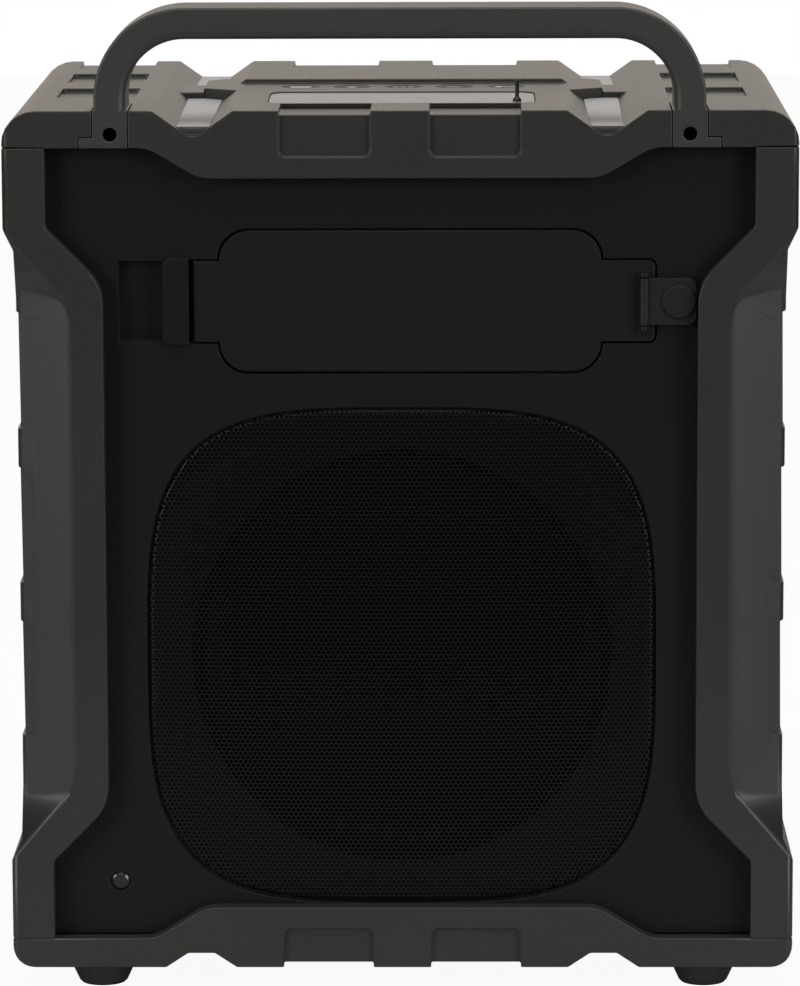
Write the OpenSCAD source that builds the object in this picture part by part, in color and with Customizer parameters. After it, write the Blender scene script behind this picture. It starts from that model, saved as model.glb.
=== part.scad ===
// Outdoor speaker: a moulded frame round two recessed panels, with a carrying handle,
// light strips, a row of keys, a hinged port hatch with a snap latch, and grilles.
// The rear face looks to -Y, the front face to +Y, and the feet stand on Z = 0. Millimetres.

/* [Body] */
// Width over the corner blocks
body_w = 352; // [346:1:372]
// Depth from the rear face to the front face
body_d = 247; // [237:1:277]
// Height from the underside of the base cap to the top deck
body_h = 388; // [384:1:410]
// Radius of the upright outer edges
edge_r = 3; // [2:0.5:6]
// Wall of the moulded frame pieces
wall = 4; // [3.5:0.25:4.5]
// How far the panels lie behind the faces of the frame
panel_set = 8.5; // [7.5:0.25:10]
// Thickness of the front and rear panels
panel_t = 6; // [6:0.25:7]
// Room between pieces that are pushed together
fit_gap = 0.3; // [0.25:0.05:0.4]

/* [Caps] */
// Height of the top cap at its corners
top_seam_h = 16.5; // [15.5:0.5:18]
// Height of the top cap at its middle
top_skirt_h = 30; // [28:0.5:32]
// Height of the base cap at its corners
base_seam_h = 13.5; // [12.5:0.5:15]
// Height of the base cap at its middle
base_skirt_h = 27.7; // [26.5:0.1:28.2]
// Distance of the deep middle stretch of both caps from the sides
skirt_side = 87.5; // [84.5:0.5:90.5]
// Run of the slope beside that stretch
skirt_run = 23; // [20:1:26]
// Outer corner radius of the top cap
cap_r = 15; // [11:0.5:16]
// Outer corner radius of the base cap
base_r = 10; // [8:0.5:11]
// Width and depth of the groove at the seams
seam_groove = 0.5; // [0.3:0.1:1]
// Distance of an edge recess from the centre line
pad_x = 13; // [10:0.5:14]
// Width of an edge recess
pad_w = 40.5; // [38:0.5:44]
// Depth of the shallow recesses in the frame
pad_t = 2; // [1.5:0.25:2.25]
// Reach of an edge recess over the top and the underside
pad_back = 33; // [26:1:35]
// Reach of an edge recess down the face of the top cap
pad_drop = 20.6; // [18:0.2:22]
// Reach of an edge recess up the face of the base cap
pad_rise = 18; // [16:0.5:20]

/* [Columns] */
// Width of a corner block's face
block_w = 19; // [17:0.1:21]
// Height of a corner block's face next to its cap
block_h = 35.5; // [32:0.5:40]
// Distance of the face band's inner edge from the side
band_in = 44.1; // [41.5:0.1:44.3]
// Distance of the face band's outer edge from the side
band_out = 28.6; // [26.5:0.1:30.5]
// Radius where the band's inner edge turns into a slope
band_r = 22; // [12:1:26]
// Height of the slope on the band's inner edge
slope_in = 25.5; // [23:0.5:29]
// Height of the slope on the band's outer edge
slope_out = 33; // [30:0.5:37]
// Radius of the hollowed corner's outline
scoop_r = 14; // [8:1:16]
// Radius of the band's outer edge
rim_r = 14; // [6:0.5:16]
// Depth of the hollowed corner beside the band
scoop_d = 12; // [10:0.5:14]
// Height of the ramps at the ends of the hollowed corner
ramp_h = 23; // [18:1:26]
// How far the sides lie inside the corner blocks
waist = 4.6; // [4:0.1:6]
// Height of the slopes at the ends of those sides
waist_rise = 10; // [8:0.5:12]
// Number of recesses in each side
recess_n = 3; // [2:1:3]
// Height of a side recess
recess_h = 52.5; // [46:0.5:56]
// Spacing of the side recesses
recess_pitch = 70; // [64:1:72]
// Height of the recesses' middle above the column's middle
recess_up = 8.5; // [0:0.5:10]
// Depth of a side recess
recess_t = 1.5; // [1:0.25:2]
// Length of a side recess
recess_l = 230; // [224:1:232]

/* [Light strips] */
// Distance of a light notch from the side
notch_side = 84.5; // [83.5:0.25:86.5]
// Width of a light notch at the top
notch_w = 35.5; // [33:0.5:37]
// Width of a light notch at its floor
notch_floor = 4.4; // [4.2:0.1:6]
// Depth of a light notch
notch_t = 11; // [10:0.25:11.5]
// Depth of the lens surface below the top
lens_drop = 7.3; // [7:0.1:8]
// Rise of the lens towards its level middle
lens_rise = 0.5; // [0.3:0.1:2]
// Length of that level middle
lens_flat = 20; // [10:1:40]
// Distance of the lens from the faces
lens_set = 5; // [4:0.5:8]
// Rear edge of the tongue over the lens
tongue_y = 4.5; // [2:0.5:7]
// Length of the tongue over the lens
bridge_l = 46; // [42:1:50]
// Rear edge of the low band beside the tongue
low_band_y = 5; // [3:0.5:8]
// Length of the low band beside the tongue
low_band_l = 35; // [30:0.5:38]
// Depth of the low band below the top
low_band_drop = 4; // [3.5:0.1:4.5]
// Width of the LED tape under a lens
led_w = 3.6; // [3:0.1:4]
// Spacing of the LEDs
led_pitch = 16; // [12:1:24]

/* [Deck] */
// How far the key deck lies below the top
deck_drop = 2; // [1.5:0.25:2.5]
// Place of the step behind the deck
deck_wall_y = 28; // [24:0.5:32]
// Distance of the glossy plate from the light notches
plate_side = 13.5; // [11.5:0.5:24]
// Depth of the glossy plate
plate_d = 53.5; // [48:0.5:55]
// Middle of the glossy plate
plate_y = -40; // [-42:0.5:-38]
// Thickness of the glossy plate
plate_t = 1.4; // [1:0.1:1.8]
// Diameter of a key
key_d = 16; // [12:0.5:17]
// Number of key spacings across the deck
deck_n = 6.2; // [6:0.1:7]
// Place of the row of keys
key_y = 12; // [10:0.5:14]
// Travel of a key
key_travel = 0.8; // [0.5:0.1:1]
// Distance of the aerial stub from the plate's end
aerial_in = 8; // [7:0.5:20]
// Place of the aerial stub along the depth
aerial_y = -55; // [-60:1:-50]
// Height of the aerial stub over the plate
aerial_h = 10; // [6:0.5:12]
// Diameter of the aerial stub
aerial_d = 1.8; // [1.5:0.1:2.2]
// Width of a slot in a corner block's top
slot_w = 35.5; // [30:0.5:36]
// Distance of those slots from the side
slot_side = 20; // [18.5:0.5:21.5]
// Middle of the first of those slots
slot_y = -38; // [-40:0.5:-36]
// Length of a slot in a corner block's top
slot_l = 43; // [38:0.5:45]
// Spacing of those slots
slot_pitch = 73; // [70:0.5:74]

/* [Handle] */
// Distance of the handle's arms from the sides
handle_side = 41.1; // [40.5:0.1:43]
// Thickness of the handle's strap
handle_t = 14; // [12:0.1:14.2]
// Depth of the handle's strap
handle_d = 32.5; // [28:0.5:38]
// Rise of the handle over the top
handle_rise = 45.3; // [42:0.1:60]
// Outer radius of the handle's bends
handle_r = 40; // [30:0.5:42]
// Radius of the strap's inner edges
handle_edge = 4; // [2:0.25:5]
// Radius of the strap's outer edges
handle_brim = 1.2; // [0.8:0.1:2]
// Width of the handle's feet in the cap
shoe_w = 15.4; // [15:0.1:17]
// Reach of the toe that keys each foot into the cap
toe_w = 6; // [4:0.25:7]
// Height of that toe
toe_h = 4.5; // [4:0.25:5]
// Diameter of the sunk screw hole in each foot
shoe_bore_d = 6.2; // [5.6:0.1:7]
// Diameter of the handle screws
handle_screw_d = 3.5; // [3:0.1:4]

/* [Hatch] */
// Mean distance of the hatch's body from the sides
hatch_side = 91.25; // [90:0.25:101]
// Offset of the hatch's body from the centre line
hatch_x = 4.35; // [3:0.05:6]
// Height of the hatch's body
hatch_h = 63.4; // [60:0.1:65]
// Middle of the hatch below the top
hatch_drop = 85.7; // [85:0.1:88]
// Height of the hatch's tongues
tongue_h = 36.2; // [35:0.1:38]
// Length of the tongue at the hinge
tongue_l = 12.8; // [12:0.1:14]
// Length of the tongue at the latch
tongue_r = 23.9; // [23:0.1:25]
// Thickness of the hatch
hatch_t = 3.1; // [3:0.1:3.3]
// How far the hatch stands out of the panel
hatch_proud = 0.5; // [0.3:0.1:0.6]
// Gap round the hatch
hatch_gap = 0.8; // [0.7:0.05:1]
// Diameter of the hinge pin
hinge_pin_d = 2; // [1.6:0.1:2.2]
// Radius of the hatch's hinge knuckle
knuckle_r = 2.2; // [2:0.1:2.3]
// Radial play on the hinge pins
pin_play = 0.05; // [0.03:0.01:0.08]
// Width of the guard bar beside the hinge
guard_w = 11.5; // [9:0.5:12]
// Rise of the guard bar over the panel
guard_rise = 3; // [2:0.25:3.5]
// Width of the finger recess beside the guard bar
grip_w = 20; // [17:0.5:20.5]
// Width of the ledge that the hatch closes on
ledge_w = 5; // [4:0.25:6]
// Depth of the port bay behind the panel
bay_d = 38; // [30:1:42]
// Wall of the port bay
bay_wall = 2; // [1.5:0.25:2.5]
// Thickness of the hatch's seal
seal_t = 0.5; // [0.3:0.05:0.6]

/* [Latch] */
// Length of the latch tab
latch_w = 25.2; // [23:0.1:25.4]
// Height of the latch tab
latch_h = 21; // [18:0.5:24]
// Thickness of the latch tab
latch_t = 2.2; // [1.8:0.1:2.6]
// Overlap of the tab on the hatch
latch_lap = 6.9; // [6.5:0.1:7.5]
// Diameter of the latch's hinge pin
latch_pin_d = 1.6; // [1.4:0.1:1.8]
// Diameter of the snap button's head
button_d = 15; // [12:0.5:15]
// Distance of the snap button from the tab's end
button_in = 7.8; // [7.6:0.1:8.4]
// Diameter of the snap button's plug
plug_d = 8; // [7:0.1:8.4]
// Length of the snap button's plug
plug_l = 3; // [2:0.25:3]

/* [Grilles] */
// Distance of the grilles from the face bands
grille_side = 18.4; // [16.2:0.05:24]
// Distance of the rear grille's upper edge from the top
grille_drop = 134; // [133.5:0.5:144]
// Gap between the grilles and the base cap's skirt
grille_foot = 0.8; // [0.7:0.1:4]
// Squareness of the rear grille's outline
grille_n = 3.65; // [3.2:0.05:5]
// Wall of both grilles
grille_t = 1.4; // [1.2:0.1:1.8]
// Rise of the rear grille over the panel
grille_rise = 4.2; // [3.5:0.1:6]
// Depth of the rebates that the grilles sit in
grille_set = 2.5; // [2:0.25:3]
// Gap round the grilles
grille_gap = 0.6; // [0.4:0.1:0.8]
// Distance of the front grille's upper edge from the top
front_drop = 41; // [39:0.5:48]
// Squareness of the front grille's outline
front_grille_n = 7; // [5:0.5:10]
// Diameter of the indicator lens
indicator_d = 8; // [6:0.5:10]
// Distance of the indicator from the side
indicator_side = 48.5; // [47.5:0.5:53.5]
// Height of the indicator above the base
indicator_z = 38; // [37:0.5:44]

/* [Drivers] */
// Distance of the driver openings from the rear grille's edges
driver_in = 18.75; // [18.25:0.25:23.75]
// Width of a driver's mounting ring
ring_w = 12; // [11:0.5:13]
// Thickness of a driver's mounting ring
ring_t = 5; // [4:0.5:6]
// Width of a surround's half roll
roll_w = 16; // [12:0.5:18]
// Thickness of a surround
surround_t = 1.2; // [1:0.1:1.5]
// Depth of the woofer's basket
basket_d = 72; // [64:1:76]
// Diameter of the woofer's magnet
magnet_d = 110; // [90:1:116]
// Thickness of the woofer's magnet
magnet_t = 24; // [18:1:28]
// Number of screws in each driver's ring
ring_screws = 8; // [4:1:8]
// Distance of a tweeter's middle from the grille's side
tweeter_in = 51.75; // [50:0.25:57]
// Distance of the tweeters' middles from the top
tweeter_drop = 92; // [88:1:94]
// Diameter of a tweeter's face
tweeter_d = 80; // [70:1:82]
// Diameter of a tweeter's dome
dome_d = 28; // [20:1:32]

/* [Inside] */
// Room between the battery pack and the notches under the base
battery_gap = 5.5; // [4.5:0.5:16]
// Depth of the battery pack
battery_d = 60; // [50:1:62]
// Height of the battery pack
battery_h = 56; // [44:1:58]
// Thickness of the circuit boards
board_t = 1.6; // [1.2:0.1:2]
// Height of the posts under the boards
post_h = 6; // [5:0.5:8]

/* [Feet] */
// Height of a foot
foot_h = 11.6; // [10:0.2:16]
// Diameter of a foot at the base cap
foot_d = 29; // [26:0.5:30]
// Diameter of a foot at the floor
foot_tip_d = 22; // [18:0.5:24]
// Distance of a foot from the side
foot_side = 39.5; // [37.5:0.5:45.5]
// Distance of a foot from the face of the frame
foot_in = 22.5; // [20:0.5:26]

/* [Hidden] */
$fn = 64;

frame_colour = "#3b3b39";
panel_colour = "#1b1b1a";
hatch_colour = "#222221";
lens_colour = "#c9c9c4";
steel_colour = "#b4b4b0";
rubber_colour = "#161616";
board_colour = "#24502f";

// Faces and seams
half_w = body_w / 2;
half_d = body_d / 2;
seat_y = half_d - panel_set;
back_y = seat_y - panel_t;
top_seam_z = body_h - top_seam_h;
top_skirt_z = body_h - top_skirt_h;
past = 2;
move_gap = fit_gap + 0.1;
outline_r = 18;
skirt_w = body_w - 2 * skirt_side;

// Columns
band_in_x = half_w - band_in;
band_out_x = half_w - band_out;
block_x = half_w - block_w;
slope_top_z = top_seam_z - block_h;
slope_base_z = base_seam_h + block_h;
out_slope = slope_out / band_out;
waist_x = half_w - waist;
scoop_lean = (band_out - waist) / scoop_d;
scoop_thick = sqrt(1 + scoop_lean * scoop_lean);
scoop_past = 6;
scoop_lead = 12;
recess_r = 4;
ramp_a = atan(ramp_h / scoop_d);
column_mid = (top_seam_z + base_seam_h) / 2 + recess_up;
plate_end_t = 3;
column_boss_h = 12;
cap_screw_d = 3.6;
cap_head_d = 7;
cap_head_h = 2.6;
cap_bite = 8;
base_head_z = 5;
cap_screw_x = half_w - block_w / 2 - wall / 2;
cap_screw_y = half_d / 2;

// Light notches and deck
notch_x = half_w - notch_side;
deck_w = 2 * notch_x - notch_w;
deck_in = 9;
plate_w = deck_w - 2 * plate_side;
aerial_x = plate_w / 2 - aerial_in;
slot_x = half_w - slot_side - slot_w;
notch_z = body_h - notch_t;
notch_lean = (notch_w - notch_floor) / 2 / notch_t;
lens_z = body_h - lens_drop;
lens_top = lens_z + lens_rise;
led_t = 2;
dam_t = 1.4;
trough_z = notch_z - led_t - 2.5;
deck_z = body_h - deck_drop;
plate_pocket = 2;
deck_under = deck_z - plate_pocket - 3;
top_under = body_h - pad_t - 3;
key_n = 5;
key_pitch = deck_w / deck_n;
key_flange = 1.5;
key_flange_t = 1.2;
stem_d = 5;
stem_l = 1.5;
switch_size = 6;
switch_h = 3.5;
stem_z = deck_under - move_gap - key_flange_t - stem_l;
key_board_z = stem_z - key_travel - move_gap - switch_h - board_t;
key_boss_end = 5;
key_board_end = key_d / 2 + key_flange + key_boss_end;
key_board_w = (key_n - 1) * key_pitch + 2 * key_board_end;
key_board_d = 26;
key_boss_d = 6;
key_boss_in = 3.5;

// Handle
handle_w = body_w - 2 * handle_side;
shoe_x = (handle_w - handle_t) / 2;
shoe_out = shoe_x + shoe_w / 2;
shoe_in = shoe_x - shoe_w / 2;
shoe_d = handle_d + 1.5;
pocket_wall = 3;
handle_screw_z = top_seam_z + 6;
shoe_bore_l = shoe_d - 12;
boss_l = 11;

// Hatch, hinge and latch
hatch_w = body_w - 2 * hatch_side;
hatch_z = body_h - hatch_drop;
hatch_left = hatch_x - hatch_w / 2;
hatch_right = hatch_x + hatch_w / 2;
hatch_y = -seat_y - hatch_proud;
hatch_back_y = hatch_y + hatch_t;
rebate_y = hatch_back_y + seal_t + move_gap;
hinge_x = hatch_left - tongue_l + knuckle_r + fit_gap;
hinge_y = -seat_y + 1.9;
hinge_room = knuckle_r + 0.4;
pin_grip = 4;
guard_x = hatch_left - tongue_l - hatch_gap;
latch_axis_r = 2;
latch_x = hatch_right + tongue_r - latch_lap + latch_axis_r;
latch_end = latch_x - latch_axis_r + latch_w;
latch_in_y = hatch_y - 0.4;
latch_y = hatch_y - move_gap - latch_axis_r;
button_x = latch_end - button_in;
button_t = 1.2;
rivet_d = 5;
socket_d = plug_d + 1.6;
ear_t = 2.3;
bay_margin = 8;
bay_floor_y = -back_y + bay_d;

// Grilles and drivers
grille_w = 2 * (band_in_x - grille_side);
indicator_x = -half_w + indicator_side;
grille_low = base_skirt_h + grille_foot;
grille_h = body_h - grille_drop - grille_low;
grille_z = grille_low + grille_h / 2;
driver_d = min(grille_w, grille_h) - 2 * driver_in;
tweeter_x = grille_w / 2 - tweeter_in;
tweeter_z = body_h - tweeter_drop;
front_grille_h = body_h - front_drop - grille_low;
front_grille_z = grille_low + front_grille_h / 2;
dome_r = grille_w * grille_w / 8 / grille_rise;
driver_r = driver_d / 2;
ring_r = driver_r + ring_w - 2;
ring_in = driver_r - 2;
ring_back = back_y - ring_t;
roll_mid = ring_in - 1 - roll_w / 2;
cone_r = roll_mid - roll_w / 2;
lip_w = 6;
seat_w = 3.5;
screw_ring_r = (ring_r + driver_r) / 2;

// Base
base_floor = 4;
foot_x = half_w - foot_side;
base_notch_side = 85.25;
base_notch_x = half_w - base_notch_side;
base_notch_w = 33;
base_notch_wall = 3;
base_notch_top = 12;
base_notch_t = 6.6;
battery_w = 2 * (base_notch_x - base_notch_w / 2 - base_notch_wall - battery_gap);
board_side = 37;
board_x = half_w - wall - board_side;
board_w = 42;
board_d = 130;
board_post_in = 4;
board_post_d = 7;

// Geometry helpers: rounded outlines, extrusions along each axis, mirrored copies
function unit(v) = v / norm(v);
function flat(p) = [p[0], p[1]];
function corner(a, b, c, r, n) =
    let (u = unit(a - b), v = unit(c - b), half = acos(u * v) / 2,
         o = b + unit(u + v) * r / sin(half),
         from = b + u * r / tan(half) - o, to = b + v * r / tan(half) - o,
         start = atan2(from[1], from[0]), turn = atan2(to[1], to[0]) - start,
         sweep = turn > 180 ? turn - 360 : turn < -180 ? turn + 360 : turn)
    [for (i = [0:n]) o + r * [cos(start + sweep * i / n), sin(start + sweep * i / n)]];
function rounded(points, n = 6) =
    let (k = len(points))
    [for (i = [0:k - 1]) let (p = points[i])
        each p[2] > 0 ? corner(flat(points[(i + k - 1) % k]), flat(p), flat(points[(i + 1) % k]), p[2], n)
                      : [flat(p)]];
function mirrored(half) =
    concat(half, [for (i = [len(half) - 1:-1:0]) [-half[i][0], half[i][1], half[i][2]]]);
function slab(x0, x1, y0, y1, r = 0) = rounded([[x0, y0, r], [x1, y0, r], [x1, y1, r], [x0, y1, r]]);
function power(v, p) = sign(v) * pow(abs(v), p);
function superellipse(a, b, n, steps = 96) =
    [for (i = [0:steps - 1]) let (t = 360 * i / steps) [a * power(cos(t), 2 / n), b * power(sin(t), 2 / n)]];

module lift() translate([0, 0, foot_h]) children();
module along_x(x0, x1) translate([x0, 0, 0]) rotate([90, 0, 90]) linear_extrude(x1 - x0) children();
module along_y(y0, y1) translate([0, y1, 0]) rotate([90, 0, 0]) linear_extrude(y1 - y0) children();
module along_z(z0, z1) translate([0, 0, z0]) linear_extrude(z1 - z0) children();
module both_sides() { children(); mirror([1, 0, 0]) children(); }
module both_faces() { children(); mirror([0, 1, 0]) children(); }
module rod_y(x, z, d, y0, y1) translate([x, y1, z]) rotate([90, 0, 0]) cylinder(d = d, h = y1 - y0);
module rod_z(x, y, d, z0, z1) translate([x, y, z0]) cylinder(d = d, h = z1 - z0);
// Turns a profile of radius and depth round a line along Y at height z
module round_y(z, x = 0) translate([x, 0, z]) rotate([-90, 0, 0]) rotate_extrude() children();
module envelope(inset = 0)
    along_z(-1, body_h + 1)
        polygon(slab(-half_w + inset, half_w - inset, -half_d + inset, half_d - inset, edge_r - inset));

// Outlines of the frame seen from the rear
top_outline = [
    [skirt_w / 2, top_skirt_z, outline_r],
    [skirt_w / 2 + skirt_run, top_seam_z, outline_r],
    [half_w, top_seam_z, 0],
    [half_w, body_h, cap_r]
];
base_outline = [
    [half_w, 0, base_r],
    [half_w, base_seam_h, 0],
    [skirt_w / 2 + skirt_run, base_seam_h, outline_r],
    [skirt_w / 2, base_skirt_h, outline_r]
];
function band_edge(shift) = [
    [block_x + shift, top_seam_z, 0],
    [block_x + shift, slope_top_z, 4],
    [band_in_x + shift, slope_top_z - slope_in, band_r],
    [band_in_x + shift, slope_base_z + slope_in, band_r],
    [block_x + shift, slope_base_z, 4],
    [block_x + shift, base_seam_h, 0]
];
function side_edge(inset) = [
    [half_w - inset, base_seam_h, 0],
    [half_w - inset, top_seam_z, 0]
];

// Columns: a hollow C between the caps, with a lip that the panels sit behind
function scoop_x(y, grow) = band_out_x + (y + half_d) * scoop_lean - grow * scoop_thick;
function scoop_plan(grow, edge_round, side_round) =
    let (out = half_w + scoop_past, x = band_out_x - grow * scoop_thick, side = waist_x - grow)
    rounded([
        [x - scoop_lead, -half_d - past / 4, 0], [x, -half_d, edge_round],
        [side, -half_d + (side - x) / scoop_lean, side_round], [side, past, 0],
        [out, past, 0], [out, -half_d - past, 0], [x - scoop_lead, -half_d - past, 0]
    ]);
function scoop_rise(grow, reach) =
    let (out = half_w + scoop_past, inner = band_out_x - reach, spread = grow * sqrt(1 + out_slope * out_slope))
    [
        [inner, slope_base_z + (half_w - inner) * out_slope - spread],
        [out, slope_base_z + (half_w - out) * out_slope - spread],
        [out, slope_top_z - (half_w - out) * out_slope + spread],
        [inner, slope_top_z - (half_w - inner) * out_slope + spread]
    ];
// Everything under the upper ramp, whose slope leans back from the corner block's lower edge
module under_ramp(reach) {
    out = half_w + scoop_past;
    inner = band_out_x - reach;
    lean = out_slope * cos(ramp_a);
    translate([0, -half_d, slope_top_z]) rotate([90 - ramp_a, 0, 0]) translate([0, 0, -body_h])
        linear_extrude(body_h + scoop_past * 4)
            polygon(rounded([
                [inner, -body_h, 0], [out, -body_h, 0], [out, (out - half_w) * lean, 0],
                [inner, (inner - half_w) * lean, scoop_r]
            ], 10));
}
// Hollowed corner beside the face band, and the drawn-in side that it runs out to
module scoop() {
    reach = rim_r / 7;
    edge = past * waist_rise / waist;
    intersection() {
        along_z(0, body_h) polygon(scoop_plan(0, rim_r, recess_r));
        under_ramp(reach);
        translate([0, 0, slope_top_z + slope_base_z]) mirror([0, 0, 1]) under_ramp(reach);
    }
    along_y(-half_d - past, past)
        polygon([
            [waist_x, slope_base_z + waist_rise], [half_w + past, slope_base_z - edge],
            [half_w + past, slope_top_z + edge], [waist_x, slope_top_z - waist_rise]
        ]);
}
module scoop_wall() intersection() {
    along_z(0, body_h) polygon(scoop_plan(wall, 0, 0));
    along_y(-half_d - past, past) polygon(scoop_rise(wall, scoop_lead));
}
module side_recess(mid) {
    end = recess_l / 2;
    floor_x = waist_x - recess_t;
    bend = half_d - (floor_x - band_out_x + recess_t * scoop_thick) / scoop_lean;
    end_x = min(floor_x, scoop_x(-end, recess_t));
    low = mid - recess_h / 2;
    high = mid + recess_h / 2;
    intersection() {
        along_z(low, high)
            polygon([
                [end_x, -end], [half_w + past, -end], [half_w + past, end], [end_x, end],
                [floor_x, bend], [floor_x, -bend]
            ]);
        along_x(0, half_w + past) polygon(slab(-end, end, low, high, recess_r));
    }
}
module column() {
    end_plate_y = back_y - fit_gap;
    difference() {
        intersection() {
            along_y(-half_d, half_d) polygon(rounded(concat(side_edge(0), band_edge(0))));
            envelope();
        }
        both_faces() scoop();
        for (i = [0:recess_n - 1]) side_recess(column_mid + (i - (recess_n - 1) / 2) * recess_pitch);
        difference() {
            union() {
                along_y(-half_d + wall, half_d - wall)
                    polygon(rounded(concat(side_edge(wall), band_edge(wall))));
                along_y(-seat_y, seat_y)
                    polygon(rounded(concat(side_edge(wall), band_edge(-past))));
            }
            both_faces() scoop_wall();
            for (z = [base_seam_h, top_seam_z - plate_end_t])
                along_z(z, z + plate_end_t) polygon(slab(0, half_w, -end_plate_y, end_plate_y));
            both_faces() rod_z(cap_screw_x, cap_screw_y, 8.4, base_seam_h, base_seam_h + column_boss_h);
        }
        both_faces() {
            rod_z(cap_screw_x, cap_screw_y, cap_screw_d + 0.6, top_seam_z - plate_end_t - 1, top_seam_z + 1);
            rod_z(cap_screw_x, cap_screw_y, cap_screw_d + 0.1, base_seam_h - 1, base_seam_h + column_boss_h - 1);
        }
    }
}
module right_column() color(frame_colour) lift() column();
module left_column() color(frame_colour) lift() mirror([1, 0, 0]) column();

// Shallow recess that wraps over an edge of a cap
module edge_recess(z0, z1, over_z0, over_z1) {
    along_y(-half_d - past, -half_d + pad_t)
        polygon(slab(pad_x, pad_x + pad_w, z0, z1, 3.5));
    along_z(over_z0, over_z1)
        polygon(slab(pad_x, pad_x + pad_w, -half_d - past, -half_d + pad_back));
}

// Top cap: light notches, sunk key deck, edge recesses, corner slots and pockets for the handle
function notch(lower, spread) = [
    [notch_x - notch_floor / 2 - spread, lower],
    [notch_x + notch_floor / 2 + spread, lower],
    [notch_x + notch_w / 2 + spread + past * notch_lean, body_h + past],
    [notch_x - notch_w / 2 - spread - past * notch_lean, body_h + past]
];
cap_ceiling = [
    [half_w - wall, top_under, 0],
    [notch_x + notch_w / 2 + wall, top_under, 0],
    [notch_x + notch_floor / 2 + wall, trough_z, 0],
    [notch_x - notch_floor / 2 - wall, trough_z, 0],
    [notch_x - notch_w / 2 - wall, deck_under, 0]
];
module handle_pocket() {
    along_y(-half_d - past, -half_d + shoe_d + fit_gap)
        polygon([
            [shoe_in - fit_gap, top_seam_z - past],
            [shoe_out + toe_w + fit_gap, top_seam_z - past],
            [shoe_out + toe_w + fit_gap, top_seam_z + toe_h + fit_gap],
            [shoe_out + fit_gap, top_seam_z + toe_h + fit_gap],
            [shoe_out + fit_gap, body_h + past],
            [shoe_in - fit_gap, body_h + past]
        ]);
}
module light_bridge() {
    inner = notch_x - notch_w / 2 - 0.5;
    outer = notch_x + notch_w / 2;
    step = notch_x + 0.8;
    lead = 13;
    cut = 7;
    tongue_end = tongue_y + bridge_l;
    along_z(lens_top, deck_z)
        polygon([
            [inner, tongue_y - lead], [step, tongue_y], [step, tongue_end - cut], [step - cut, tongue_end],
            [inner, tongue_end]
        ]);
    along_z(lens_top, body_h - low_band_drop)
        polygon(slab(step - 1, outer, low_band_y, low_band_y + low_band_l));
}
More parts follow.
